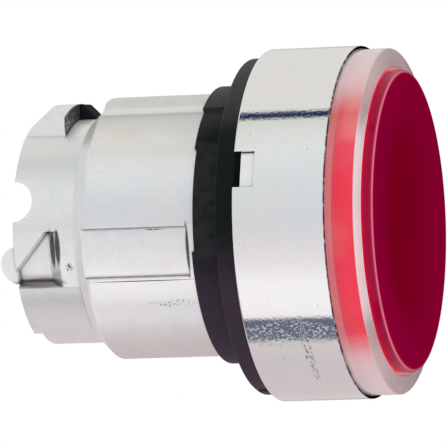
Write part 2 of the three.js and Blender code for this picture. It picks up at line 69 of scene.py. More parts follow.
mm = 0.001
weld = 0.0002 * mm  # vertices closer than this are one
fullTurn = 2 * math.pi
fineSteps = 180  # steps round a piece that shows
plainSteps = 96  # steps round a piece that is mostly hidden
smoothDegrees = 32  # an edge that turns less than this is shaded smooth
sliverDegrees = 0.4  # faces that differ less than this are one


def toPlace(radius, front, degrees=0.0):
    angle = math.radians(degrees)
    return Vector((-radius * math.cos(angle), -front, radius * math.sin(angle)))


def rounded(corners, closed=True, steps=5):
    # each corner is (radius, front) or (radius, front, fillet)
    points = []
    last = len(corners) - 1
    for index, corner in enumerate(corners):
        here = Vector(corner[:2])
        fillet = corner[2] if len(corner) > 2 else 0
        if not fillet or (not closed and index in (0, last)):
            points.append(here)
            continue
        back = (Vector(corners[index - 1][:2]) - here).normalized()
        ahead = (Vector(corners[(index + 1) % len(corners)][:2]) - here).normalized()
        half = back.angle(ahead) / 2
        reach = fillet / math.tan(half)
        centre = here + (back + ahead).normalized() * fillet / math.sin(half)
        first = here + back * reach - centre
        second = here + ahead * reach - centre
        for step in range(steps + 1):
            arm = first.lerp(second, step / steps).normalized() * fillet
            points.append(centre + arm)
    return points


def selectOnly(piece):
    bpy.ops.object.select_all(action="DESELECT")
    piece.select_set(True)
    bpy.context.view_layer.objects.active = piece


def drawPath(name, points):
    # one vertex at the first point, then an extrude to each of the others
    bpy.ops.object.select_all(action="DESELECT")
    bpy.ops.mesh.primitive_plane_add(size=mm, location=points[0] * mm)
    piece = bpy.context.object
    piece.name = name
    piece.data.name = name
    bpy.ops.object.transform_apply(location=True, rotation=True, scale=True)
    bpy.ops.object.mode_set(mode="EDIT")
    bpy.ops.mesh.merge(type="CENTER")
    for start, end in zip(points, points[1:]):
        bpy.ops.mesh.extrude_region_move(TRANSFORM_OT_translate={"value": (end - start) * mm})
    bpy.ops.mesh.select_all(action="SELECT")
    return piece


def weldAll():
    bpy.ops.mesh.select_all(action="SELECT")
    bpy.ops.mesh.remove_doubles(threshold=weld)


def closeSolid():
    weldAll()
    bpy.ops.mesh.normals_make_consistent(inside=False)
    bpy.ops.object.mode_set(mode="OBJECT")


def turnedPiece(name, corners, closed=True, steps=fineSteps):
    # an outline carried right round the axis, closed on itself or starting and ending on the axis
    points = [toPlace(radius, front) for radius, front in rounded(corners, closed)]
    if closed:
        points.append(points[0].copy())
    piece = drawPath(name, points)
    weldAll()
    bpy.ops.mesh.spin(steps=steps, angle=fullTurn, center=(0, 0, 0), axis=(0, 1, 0))
    closeSolid()
    return piece


def sweptBlock(name, corners, fromDegrees, toDegrees):
    # a filled outline carried part of the way round the axis
    points = [toPlace(radius, front, fromDegrees) for radius, front in rounded(corners)]
    piece = drawPath(name, points + [points[0].copy()])
    weldAll()
    bpy.ops.mesh.edge_face_add()
    sweep = toDegrees - fromDegrees
    steps = max(4, round(fineSteps * sweep / 360))
    bpy.ops.mesh.spin(steps=steps, angle=-math.radians(sweep), center=(0, 0, 0), axis=(0, 1, 0))
    closeSolid()
    return piece


def ringSector(name, inner, outer, rear, front, fromDegrees, toDegrees):
    corners = [(inner, rear), (outer, rear), (outer, front), (inner, front)]
    return sweptBlock(name, corners, fromDegrees, toDegrees)


def extrudedBlock(name, points, along):
    # a filled outline carried straight
    piece = drawPath(name, points + [points[0].copy()])
    weldAll()
    bpy.ops.mesh.edge_face_add()
    bpy.ops.mesh.extrude_region_move(TRANSFORM_OT_translate={"value": along * mm})
    closeSolid()
    return piece


def acrossBlock(name, outline, fromX, toX):
    # an outline of (front, height) carried across the button
    points = [Vector((fromX, -front, height)) for front, height in outline]
    return extrudedBlock(name, points, Vector((toX - fromX, 0, 0)))


def acrossBox(name, rear, front, low, high, half, middle=0.0):
    outline = [(rear, low), (front, low), (front, high), (rear, high)]
    return acrossBlock(name, outline, middle - half, middle + half)


def roundPath(centreFront, centreHeight, radius, steps=40):
    angles = [fullTurn * step / steps for step in range(steps)]
    return [(centreFront + radius * math.cos(a), centreHeight + radius * math.sin(a)) for a in angles]


def radialBlock(name, width, inner, outer, rear, front, degrees):
    side = Vector((math.sin(math.radians(degrees)), 0, math.cos(math.radians(degrees))))
    places = [(inner, rear), (outer, rear), (outer, front), (inner, front)]
    points = [toPlace(radius, along, degrees) - side * width / 2 for radius, along in places]
    return extrudedBlock(name, points, side * width)


def sliced(piece, point, normal):
    # takes away what lies on the normal's side of a plane and closes the cut
    selectOnly(piece)
    bpy.ops.object.mode_set(mode="EDIT")
    bpy.ops.mesh.select_all(action="SELECT")
    bpy.ops.mesh.bisect(plane_co=Vector(point) * mm, plane_no=normal, use_fill=True, clear_outer=True)
    closeSolid()
    return piece


def combined(piece, tool, operation):
    modifier = piece.modifiers.new("combine", "BOOLEAN")
    modifier.operation = operation
    modifier.solver = "EXACT"
    modifier.object = tool
    selectOnly(piece)
    bpy.ops.object.modifier_apply(modifier=modifier.name)
    bpy.data.objects.remove(tool)
    return piece


def softEdges(piece, width, sharpDegrees=30, steps=3):
    # merges the slivers that cutting leaves, then rounds what is still sharp
    selectOnly(piece)
    bpy.ops.object.mode_set(mode="EDIT")
    bpy.ops.mesh.select_mode(type="EDGE")
    bpy.ops.mesh.select_all(action="SELECT")
    bpy.ops.mesh.dissolve_limited(angle_limit=math.radians(sliverDegrees))
    bpy.ops.mesh.select_all(action="DESELECT")
    bpy.ops.mesh.edges_select_sharp(sharpness=math.radians(sharpDegrees))
    bpy.ops.mesh.bevel(offset=width * mm, segments=steps, affect="EDGES", clamp_overlap=True)
    bpy.ops.mesh.select_mode(type="VERT")
    bpy.ops.mesh.select_all(action="SELECT")
    bpy.ops.mesh.normals_make_consistent(inside=False)
    bpy.ops.object.mode_set(mode="OBJECT")


def dress(piece, material):
    selectOnly(piece)
    bpy.ops.object.shade_smooth_by_angle(angle=math.radians(smoothDegrees))
    modifier = piece.modifiers.new("evenNormals", "WEIGHTED_NORMAL")
    modifier.keep_sharp = True
    bpy.ops.object.modifier_apply(modifier=modifier.name)
    piece.data.materials.clear()
    piece.data.materials.append(material)


def install(piece, node, body, material):
    dress(piece, material)
    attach(piece, body)
    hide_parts(node)
    return piece


# Effects that several materials share: node groups that give a mask, a value or a colour.

def newGroup(name, numbers, colors, results):
    # gives the group, its inputs and its outputs
    group = bpy.data.node_groups.new(name, "ShaderNodeTree")
    group.interface.new_socket(name="Place", in_out="INPUT", socket_type="NodeSocketVector")
    for label, value in numbers.items():
        socket = group.interface.new_socket(name=label, in_out="INPUT", socket_type="NodeSocketFloat")
        socket.default_value = value
    for label in colors:
        group.interface.new_socket(name=label, in_out="INPUT", socket_type="NodeSocketColor")
    for label in results:
        kind = "NodeSocketColor" if label == "Color" else "NodeSocketFloat"
        group.interface.new_socket(name=label, in_out="OUTPUT", socket_type=kind)
    given = group.nodes.new("NodeGroupInput").outputs
    result = group.nodes.new("NodeGroupOutput").inputs
    return group, given, result


def feed(tree, socket, value):
    # a number or a colour is set on the socket, anything else is linked to it
    if isinstance(value, (int, float)):
        socket.default_value = value
    elif isinstance(value, (tuple, list)):
        socket.default_value = (*value, 1)
    else:
        tree.links.new(value, socket)


def axesOf(tree, place):
    split = tree.nodes.new("ShaderNodeSeparateXYZ")
    tree.links.new(place, split.inputs[0])
    return split.outputs


def mathNode(tree, operation, first, second=None, clamp=False):
    node = tree.nodes.new("ShaderNodeMath")
    node.operation = operation
    node.use_clamp = clamp
    feed(tree, node.inputs[0], first)
    if second is not None:
        feed(tree, node.inputs[1], second)
    return node.outputs[0]


def noiseNode(tree, place, scale, detail=3.0, roughness=0.6):
    node = tree.nodes.new("ShaderNodeTexNoise")
    tree.links.new(place, node.inputs["Vector"])
    for label, value in {"Scale": scale, "Detail": detail, "Roughness": roughness}.items():
        feed(tree, node.inputs[label], value)
    return node.outputs["Fac"]


def rangeNode(tree, value, fromLow, fromHigh, toLow, toHigh, smooth=False):
    node = tree.nodes.new("ShaderNodeMapRange")
    if smooth:
        node.interpolation_type = "SMOOTHSTEP"
    tree.links.new(value, node.inputs["Value"])
    limits = {"From Min": fromLow, "From Max": fromHigh, "To Min": toLow, "To Max": toHigh}
    for label, limit in limits.items():
        feed(tree, node.inputs[label], limit)
    return node.outputs["Result"]


def placeNode(tree, value, places, low=0.0, high=1.0, smooth=False):
    # changes between two places given in millimetres
    return rangeNode(tree, value, places[0] * mm, places[1] * mm, low, high, smooth)


def mixNode(tree, share, first, second, blend="MIX"):
    node = tree.nodes.new("ShaderNodeMix")
    node.data_type = "RGBA"
    node.blend_type = blend
    feed(tree, node.inputs[0], share)
    colors = [socket for socket in node.inputs if socket.type == "RGBA"]
    for socket, value in zip(colors, (first, second)):
        feed(tree, socket, value)
    return [socket for socket in node.outputs if socket.type == "RGBA"][0]


def rampNode(tree, value, stops, low, high):
    # colours at places between two limits
    ramp = tree.nodes.new("ShaderNodeValToRGB")
    elements = ramp.color_ramp.elements
    shares = [(place - low) / (high - low) for place, color in stops]
    for share in shares[1:-1]:
        elements.new(share)
    for element, share, (place, color) in zip(elements, shares, stops):
        element.position = share
        element.color = (*color, 1)
    tree.links.new(value, ramp.inputs["Fac"])
    return ramp.outputs["Color"]


def fineGrainGroup():
    # an even grain: a roughness between two values, and a height for bump
    group, given, result = newGroup("fineGrain", {"Scale": 1500.0, "Smoothest": 0.2, "Roughest": 0.4}, [],
                                    ["Roughness", "Height"])
    grain = noiseNode(group, given["Place"], given["Scale"])
    broad = mathNode(group, "MULTIPLY", given["Scale"], 0.12)
    cloud = noiseNode(group, given["Place"], broad)
    both = mathNode(group, "MULTIPLY", mathNode(group, "ADD", grain, cloud), 0.5)
    roughness = rangeNode(group, both, *softNoise, given["Smoothest"], given["Roughest"])
    group.links.new(roughness, result["Roughness"])
    group.links.new(grain, result["Height"])
    return group


def softTintGroup():
    # drifts between two colours over the surface
    group, given, result = newGroup("softTint", {"Scale": 120.0}, ["First", "Second"], ["Color"])
    drift = noiseNode(group, given["Place"], given["Scale"], 3.0, 0.55)
    share = rangeNode(group, drift, *softNoise, 0.0, 1.0, smooth=True)
    group.links.new(mixNode(group, share, given["First"], given["Second"]), result["Color"])
    return group


def specksGroup():
    # scattered small marks, gathered in patches: pits, dust or handling marks
    group, given, result = newGroup("specks", {"Scale": 2500.0, "Rarity": 0.7}, [], ["Mask"])
    dots = noiseNode(group, given["Place"], given["Scale"], 2.0, 0.7)
    patchScale = mathNode(group, "MULTIPLY", given["Scale"], 0.08)
    patches = noiseNode(group, given["Place"], patchScale, 2.0, 0.5)
    full = mathNode(group, "ADD", given["Rarity"], 0.06)
    mark = rangeNode(group, dots, given["Rarity"], full, 0.0, 1.0, smooth=True)
    where = rangeNode(group, patches, 0.45, 0.6, 0.0, 1.0, smooth=True)
    group.links.new(mathNode(group, "MULTIPLY", mark, where), result["Mask"])
    return group


def brokenUp(group, given, result, mask, least):
    # makes a mask patchy, from a least share up to all of it
    patchy = noiseNode(group, given["Place"], given["Scale"])
    broken = rangeNode(group, patchy, 0.35, 0.6, least, 1.0)
    group.links.new(mathNode(group, "MULTIPLY", mask, broken, clamp=True), result["Mask"])


def edgeWearGroup():
    # the outer edges, broken up a little
    group, given, result = newGroup("edgeWear", {"Scale": 900.0, "Start": 0.53, "Full": 0.6}, [], ["Mask"])
    pointiness = group.nodes.new("ShaderNodeNewGeometry").outputs["Pointiness"]
    edge = rangeNode(group, pointiness, given["Start"], given["Full"], 0.0, 1.0)
    brokenUp(group, given, result, edge, 0.25)
    return group


def cornerShadeGroup():
    # painted shade: darker in inside corners, grooves and gaps, found by ambient occlusion
    group, given, result = newGroup("cornerShade", {"Scale": 900.0, "Reach": 0.5 * mm}, [], ["Mask"])
    shade = group.nodes.new("ShaderNodeAmbientOcclusion")
    shade.samples = 8
    group.links.new(given["Reach"], shade.inputs["Distance"])
    closed = rangeNode(group, shade.outputs["AO"], 0.45, 0.9, 1.0, 0.0)
    brokenUp(group, given, result, closed, 0.75)
    return group


def turningLinesGroup():
    # very fine lines round the axis, as turning or polishing leaves
    group, given, result = newGroup("turningLines", {"Scale": 3000.0}, [], ["Height", "Radius"])
    axes = axesOf(group, given["Place"])
    squareX, squareZ = (mathNode(group, "POWER", axes[name], 2.0) for name in "XZ")
    radius = mathNode(group, "SQRT", mathNode(group, "ADD", squareX, squareZ))
    angle = mathNode(group, "ARCTAN2", axes["Z"], axes["X"])
    around = mathNode(group, "MULTIPLY", angle, 0.0006)
    joined = group.nodes.new("ShaderNodeCombineXYZ")
    for value, socket in zip((radius, axes["Y"], around), joined.inputs):
        group.links.new(value, socket)
    lines = noiseNode(group, joined.outputs[0], given["Scale"])
    group.links.new(lines, result["Height"])
    group.links.new(radius, result["Radius"])
    return group


def scuffGroup():
    # a patch of scratches round one place on the near side
    numbers = {"Scale": 6000.0, "Front": 0.0, "FrontHalf": mm, "Height": 0.0, "HeightHalf": mm,
               "Upright": 1.0, "Rarity": 0.5}
    group, given, result = newGroup("scuff", numbers, [], ["Mask"])
    axes = axesOf(group, given["Place"])
    along = mathNode(group, "ADD", axes["Y"], given["Front"])
    along = mathNode(group, "DIVIDE", along, given["FrontHalf"])
    up = mathNode(group, "SUBTRACT", axes["Z"], given["Height"])
    up = mathNode(group, "DIVIDE", up, given["HeightHalf"])
    squareAlong, squareUp = (mathNode(group, "POWER", value, 2.0) for value in (along, up))
    squares = mathNode(group, "ADD", squareAlong, squareUp)
    inside = rangeNode(group, squares, 0.6, 1.2, 1.0, 0.0)
    near = placeNode(group, axes["X"], (0.0, -1.0))
    joined = group.nodes.new("ShaderNodeCombineXYZ")
    drawnOut = mathNode(group, "DIVIDE", axes["Z"], given["Upright"])
    for value, socket in zip((axes["X"], axes["Y"], drawnOut), joined.inputs):
        group.links.new(value, socket)
    streaks = noiseNode(group, joined.outputs[0], given["Scale"], 3.0, 0.65)
    full = mathNode(group, "ADD", given["Rarity"], 0.07)
    mark = rangeNode(group, streaks, given["Rarity"], full, 0.0, 1.0)
    mark = mathNode(group, "MULTIPLY", mark, inside)
    group.links.new(mathNode(group, "MULTIPLY", mark, near), result["Mask"])
    return group


softNoise = (0.35, 0.65)  # the part of a noise's span that is used
shared = {
    "cornerShade": cornerShadeGroup(),
    "scuff": scuffGroup(),
    "fineGrain": fineGrainGroup(),
    "softTint": softTintGroup(),
    "specks": specksGroup(),
    "edgeWear": edgeWearGroup(),
    "turningLines": turningLinesGroup(),
}
print("stage: shared effects made")


def newMaterial(name):
    material = bpy.data.materials.new(name)
    material.use_nodes = True
    tree = material.node_tree
    shader = tree.nodes["Principled BSDF"]
    place = tree.nodes.new("ShaderNodeTexCoord").outputs["Object"]
    return material, tree, shader, place


def effect(tree, name, place, **values):
    node = tree.nodes.new("ShaderNodeGroup")
    node.node_tree = shared[name]
    tree.links.new(place, node.inputs["Place"])
    for label, value in values.items():
        feed(tree, node.inputs[label], value)
    return node.outputs


def tintOf(tree, place, values):
    first, second = values["tints"]
    return effect(tree, "softTint", place, Scale=values["tintScale"], First=first, Second=second)["Color"]


def grainOf(tree, shader, place, values):
    # sets the finish's roughness and gives the grain's height
    grain = effect(tree, "fineGrain", place, Scale=values["grainScale"], Smoothest=values["smoothest"],
                   Roughest=values["roughest"])
    tree.links.new(grain["Roughness"], shader.inputs["Roughness"])
    return grain["Height"]


def specksOf(tree, place, values):
    return effect(tree, "specks", place, Scale=values["specksScale"], Rarity=values["specksRarity"])["Mask"]


def grainShaded(tree, tint, grain, values):
    # the grain's low spots are a little darker
    low = rangeNode(tree, grain, 0.62, 0.38, 0.0, values["grainShade"])
    return mixNode(tree, low, tint, values["markColor"])


def scuffMask(tree, place, scuffs, scale):
    mask = None
    for front, frontHalf, height, heightHalf, upright, rarity in scuffs:
        one = effect(tree, "scuff", place, Scale=scale, Front=front * mm, FrontHalf=frontHalf * mm,
                     Height=height * mm, HeightHalf=heightHalf * mm, Upright=upright, Rarity=rarity)["Mask"]
        mask = one if mask is None else mathNode(tree, "MAXIMUM", mask, one)
    return mask


def eitherShader(tree, share, first, second):
    node = tree.nodes.new("ShaderNodeMixShader")
    for socket, value in zip(node.inputs, (share, first.outputs[0], second.outputs[0])):
        tree.links.new(value, socket)
    return node.outputs[0]


def addBump(tree, shader, height, values):
    bump = tree.nodes.new("ShaderNodeBump")
    bump.inputs["Strength"].default_value = values["bump"]
    bump.inputs["Distance"].default_value = values["bumpDepth"] * mm
    tree.links.new(height, bump.inputs["Height"])
    tree.links.new(bump.outputs["Normal"], shader.inputs["Normal"])


# In a finish, lengths are in millimetres and a noise's scale is in cells to the metre.
# A scuff is its distance in front, half length, height, half height, upright stretch and rarity.

castFinish = {
    "tints": ((0.91, 0.925, 0.935), (0.945, 0.93, 0.92)),
    "tintScale": 140.0,
    "metallic": 0.6,
    "heightShade": (  # painted shade by height on the barrel: the height, and the colour that the tint is multiplied by there
        (-11.0, (0.86, 0.81, 0.80)),
        (-8.6, (0.90, 0.86, 0.845)),
        (-7.2, (0.97, 0.945, 0.935)),
        (-4.2, (1.0, 0.99, 0.995)),
        (-0.6, (1.0, 0.985, 0.985)),
        (0.3, (0.955, 0.965, 0.985)),
        (4.5, (0.985, 0.99, 0.995)),
        (6.8, (0.98, 0.97, 0.94)),
        (8.6, (0.91, 0.90, 0.87)),
        (9.25, (0.80, 0.80, 0.80)),
        (9.5, (0.62, 0.63, 0.64)),
        (9.66, (0.97, 0.99, 1.0)),
        (10.0, (0.99, 1.0, 1.0)),
        (10.2, (0.86, 0.86, 0.83)),
        (11.2, (0.80, 0.79, 0.75)),
    ),
    "glow": (  # painted light on the barrel's near side: the height, and the light emitted there
        (-11.0, (0.02, 0.02, 0.02)),
        (-9.6, (0.03, 0.03, 0.03)),
        (-8.25, (0.09, 0.10, 0.10)),
        (-6.9, (0.22, 0.22, 0.22)),
        (-5.6, (0.22, 0.22, 0.21)),
        (-4.5, (0.14, 0.13, 0.13)),
        (-3.0, (0.03, 0.03, 0.03)),
        (-1.5, (0.0, 0.0, 0.0)),
        (2.2, (0.0, 0.0, 0.0)),
        (4.4, (0.05, 0.05, 0.05)),
        (5.7, (0.09, 0.08, 0.075)),
        (7.2, (0.09, 0.08, 0.07)),
        (8.4, (0.0, 0.0, 0.0)),
        (11.2, (0.0, 0.0, 0.0)),
    ),
    "driftScale": 420.0,
    "drift": 0.3,  # how far the painted shade wanders up and down
    "driftEnds": (8.7, 9.2),  # heights between which it stops wandering
    "barrelStart": (12.4, 12.0),  # where the painted shade and light set in, behind the panel
    "glowSide": (-1.0, -4.0),
    "grainScale": 3600.0,
    "grainShade": 0.04,
    "smoothest": 0.33,
    "roughest": 0.40,
    "markColor": (0.10, 0.10, 0.11),
    "specksScale": 3200.0,
    "specksRarity": 0.72,
    "scuffScale": 5200.0,
    "scuffs": (
        (-15.45, 0.3, -1.3, 1.6, 0.5, 0.30),
        (-14.85, 0.3, -1.2, 1.5, 0.5, 0.32),
        (-13.9, 0.35, -2.9, 0.4, 1.0, 0.50),
        (-5.2, 2.3, -6.05, 0.3, 0.5, 0.56),
        # painted shade: the next four are dark lines at the keyway's front end, on the lug's front end
        # face, along the keyway's lower wall and along its top edge
        (-3.38, 0.22, -1.7, 2.3, 3.0, 0.28),
        (-15.05, 0.12, 9.5, 1.7, 0.8, 0.36),
        (-7.4, 4.6, -4.17, 0.045, 0.3, 0.30),
        (-6.2, 0.8, 0.03, 0.06, 0.5, 0.42),
    ),
    "wallShadeColor": (0.36, 0.33, 0.33),  # painted shade on the side recess's lower wall
    "wallShade": ((-16.75, 2.3, -4.1, 0.42, 1.0, 0.1),),
    "wallScale": 6000.0,
    # painted shade: the colour and reach of the darkening in corners, grooves and gaps
    "cornerShadeColor": (0.10, 0.10, 0.11),
    "cornerShadeReach": 0.32,
    "wornColor": (0.97, 0.97, 0.96),
    "bump": 0.35,
    "bumpDepth": 0.004,
}


def satinZinc():
    values = castFinish
    material, tree, shader, place = newMaterial("satinZinc")
    axes = axesOf(tree, place)
    grain = grainOf(tree, shader, place, values)
    tint = grainShaded(tree, tintOf(tree, place, values), grain, values)
    # the scuffs hold scratches and painted shade lines by the keyway and on the lug
    scuffs = scuffMask(tree, place, values["scuffs"], values["scuffScale"])
    marks = mathNode(tree, "MAXIMUM", specksOf(tree, place, values), scuffs)
    # painted shade on the side recess's lower wall
    wall = scuffMask(tree, place, values["wallShade"], values["wallScale"])
    # painted shade in corners, grooves and gaps
    paintedCornerShade = effect(tree, "cornerShade", place, Reach=values["cornerShadeReach"] * mm)["Mask"]
    worn = effect(tree, "edgeWear", place)["Mask"]
    color = mixNode(tree, worn, tint, values["wornColor"])
    color = mixNode(tree, marks, color, values["markColor"])
    color = mixNode(tree, wall, color, values["wallShadeColor"])
    color = mixNode(tree, paintedCornerShade, color, values["cornerShadeColor"])
    # the painted shade and light change with height
    low, high = values["heightShade"][0][0], values["heightShade"][-1][0]
    reach = values["drift"] * mm
    drift = noiseNode(tree, place, values["driftScale"], 4.0, 0.65)
    drift = rangeNode(tree, drift, 0.3, 0.7, -reach, reach)
    wandering = placeNode(tree, axes["Z"], values["driftEnds"], 1.0, 0.0)
    height = mathNode(tree, "ADD", axes["Z"], mathNode(tree, "MULTIPLY", drift, wandering))
    along = placeNode(tree, height, (low, high))
    onBarrel = placeNode(tree, axes["Y"], values["barrelStart"])
    heightShade = rampNode(tree, along, values["heightShade"], low, high)
    tree.links.new(mixNode(tree, onBarrel, color, heightShade, "MULTIPLY"), shader.inputs["Base Color"])
    # painted light: emission on the barrel's near side, less on marks and in corners
    glow = rampNode(tree, along, values["glow"], low, high)
    glowing = mathNode(tree, "MULTIPLY", onBarrel, placeNode(tree, axes["X"], values["glowSide"]))
    clean = mathNode(tree, "SUBTRACT", 1.0, mathNode(tree, "MAXIMUM", paintedCornerShade, marks))
    lit = mathNode(tree, "MULTIPLY", glowing, clean)
    tree.links.new(mixNode(tree, lit, (0.0, 0.0, 0.0), glow), shader.inputs["Emission Color"])
    shader.inputs["Emission Strength"].default_value = 1.0
    shader.inputs["Metallic"].default_value = values["metallic"]
    addBump(tree, shader, mathNode(tree, "SUBTRACT", grain, marks), values)
    return material


chromeFinish = {
    "tints": ((0.93, 0.94, 0.95), (0.95, 0.935, 0.92)),
    "tintScale": 160.0,
    "grainScale": 3800.0,
    "grainShade": 0.03,
    "smoothest": 0.02,
    "roughest": 0.05,
    "lineScale": 2600.0,
    "lineShare": 0.5,  # of the turning lines, next to the grain
    "markColor": (0.12, 0.12, 0.16),
    "markShare": 0.7,
    "specksScale": 3000.0,
    "specksRarity": 0.70,
    "scuffScale": 3800.0,
    "scuffs": (
        (6.5, 0.38, -10.4, 2.8, 2.0, 0.53),
        (4.4, 0.5, -10.9, 0.35, 1.0, 0.60),
    ),
    "pits": (
        (5.4, 4.2, -8.85, 1.0, 0.6, 0.56),
    ),
    "pitDepth": 2.0,  # of the marks and pits, next to the grain
    "rimShadeColor": (0.025, 0.025, 0.05),
    "rim": (-9.24, -9.30),  # painted shade: where the dark band on the front edge starts and where it is full
    "rimScale": 1600.0,
    "bump": 1.0,
    "bumpDepth": 0.0050,
}


def brightChrome():
    values = chromeFinish
    material, tree, shader, place = newMaterial("brightChrome")
    grain = grainOf(tree, shader, place, values)
    tint = grainShaded(tree, tintOf(tree, place, values), grain, values)
    scuffs = scuffMask(tree, place, values["scuffs"], values["scuffScale"])
    marks = mathNode(tree, "MAXIMUM", specksOf(tree, place, values), scuffs)
    pits = mathNode(tree, "MAXIMUM", marks, scuffMask(tree, place, values["pits"], values["scuffScale"]))
    color = mixNode(tree, mathNode(tree, "MULTIPLY", marks, values["markShare"]), tint,
                    values["markColor"])
    # painted shade: a broken dark band on the bezel's rounded front edge
    rim = placeNode(tree, axesOf(tree, place)["Y"], values["rim"])
    broken = rangeNode(tree, noiseNode(tree, place, values["rimScale"], 3.0, 0.65), 0.38, 0.52, 0.35, 1.0)
    rim = mathNode(tree, "MULTIPLY", rim, broken)
    tree.links.new(mixNode(tree, rim, color, values["rimShadeColor"]), shader.inputs["Base Color"])
    shader.inputs["Metallic"].default_value = 1.0
    lines = effect(tree, "turningLines", place, Scale=values["lineScale"])["Height"]
    height = mathNode(tree, "ADD", grain, mathNode(tree, "MULTIPLY", lines, values["lineShare"]))
    height = mathNode(tree, "SUBTRACT", height, mathNode(tree, "MULTIPLY", pits, values["pitDepth"]))
    addBump(tree, shader, height, values)
    return material


rubberFinish = {
    "tints": ((0.0015, 0.0050, 0.0055), (0.0035, 0.0080, 0.0085)),
    "tintScale": 150.0,
    "paintedPaleBands": (  # painted light: a pale band by height, the heights where it starts and is full, and its colour
        ((2.0, -5.0), (0.050, 0.034, 0.052)),
        ((8.5, 12.5), (0.055, 0.058, 0.056)),
    ),
    "specular": 0.14,
    "grainScale": 1900.0,
    "smoothest": 0.48,
    "roughest": 0.66,
    "dustColor": (0.12, 0.11, 0.12),
    "specksScale": 2400.0,
    "specksRarity": 0.70,
    "wornColor": (0.045, 0.045, 0.048),
    "bump": 0.5,
    "bumpDepth": 0.012,
}

blackMouldingFinish = {
    "tints": ((0.003, 0.004, 0.006), (0.008, 0.009, 0.013)),
    "tintScale": 180.0,
    "paintedPaleBands": (),
    "specular": 0.12,
    "grainScale": 1500.0,
    "smoothest": 0.32,
    "roughest": 0.48,
    "dustColor": (0.09, 0.10, 0.12),
    "specksScale": 2600.0,
    "specksRarity": 0.70,
    "wornColor": (0.03, 0.032, 0.04),
    "bump": 0.35,
    "bumpDepth": 0.010,
}

whiteMouldingFinish = {
    "tints": ((0.74, 0.72, 0.66), (0.84, 0.83, 0.79)),
    "tintScale": 160.0,
    "paintedPaleBands": (),
    "specular": 0.5,
    "grainScale": 1400.0,
    "smoothest": 0.38,
    "roughest": 0.52,
    "dustColor": (0.45, 0.42, 0.38),
    "specksScale": 2800.0,
    "specksRarity": 0.72,
    "wornColor": (0.90, 0.89, 0.86),
    "bump": 0.3,
    "bumpDepth": 0.010,
}
paleBandDrift = {"scale": 260.0, "reach": 3.0}  # how unevenly the painted pale bands start
dustShare = 0.6
wornShare = 0.5


def moulded(name, values):
    # rubber and plastic that light doesn't pass
    material, tree, shader, place = newMaterial(name)
    color = tintOf(tree, place, values)
    # painted light: paler towards the bottom and the top
    if values["paintedPaleBands"]:
        drift = noiseNode(tree, place, paleBandDrift["scale"])
        drift = mathNode(tree, "MULTIPLY", drift, paleBandDrift["reach"] * mm)
        height = mathNode(tree, "ADD", axesOf(tree, place)["Z"], drift)
    for heights, paleBandColor in values["paintedPaleBands"]:
        color = mixNode(tree, placeNode(tree, height, heights, smooth=True), color, paleBandColor)
    dust = mathNode(tree, "MULTIPLY", specksOf(tree, place, values), dustShare)
    worn = mathNode(tree, "MULTIPLY", effect(tree, "edgeWear", place)["Mask"], wornShare)
    color = mixNode(tree, dust, color, values["dustColor"])
    color = mixNode(tree, worn, color, values["wornColor"])
    tree.links.new(color, shader.inputs["Base Color"])
    shader.inputs["Specular IOR Level"].default_value = values["specular"]
    addBump(tree, shader, grainOf(tree, shader, place, values), values)
    return material


steelFinish = {
    "tints": ((0.55, 0.56, 0.58), (0.66, 0.64, 0.60)),
    "tintScale": 200.0,
    "grainScale": 2500.0,
    "smoothest": 0.20,
    "roughest": 0.34,
    "lineScale": 4200.0,
    "bump": 0.35,
    "bumpDepth": 0.005,
}


def springSteel():
    values = steelFinish
    material, tree, shader, place = newMaterial("springSteel")
    tree.links.new(tintOf(tree, place, values), shader.inputs["Base Color"])
    grainOf(tree, shader, place, values)
    shader.inputs["Metallic"].default_value = 1.0
    addBump(tree, shader, effect(tree, "turningLines", place, Scale=values["lineScale"])["Height"], values)
    return material


clearFinish = {
    "color": (1.0, 0.95, 0.955),
    "ior": 1.34,
    "grainScale": 700.0,
    "smoothest": 0.01,
    "roughest": 0.05,
    "bump": 0.25,
    "bumpDepth": 0.006,
    "milkAndPaleEndColor": (0.97, 0.83, 0.835),
    "frontHighlightColor": (0.97, 0.96, 0.975),
    "milk": 0.01,  # share of light that the moulding scatters
    "paleEndShare": 0.62,  # painted light: paler where the ring is seen edge on
    "ends": (8.5, 12.0),
    "footMilk": 0.05,  # more milk next to the bezel
    "foot": (9.92, 9.8),
    "frontHighlightShare": 0.78,  # painted highlight on the front face, but not at its top and bottom
    "front": (11.66, 11.71),
    "frontHeights": (6.375, 11.05),
    # painted light: how strongly the milky part glows
    "paintedGlowStrength": 0.16,
    "paleEndGlow": (0.45, 0.33, 0.34),
    "cloudScale": 260.0,
    "cloud": 0.03,  # how unevenly it is milky
}


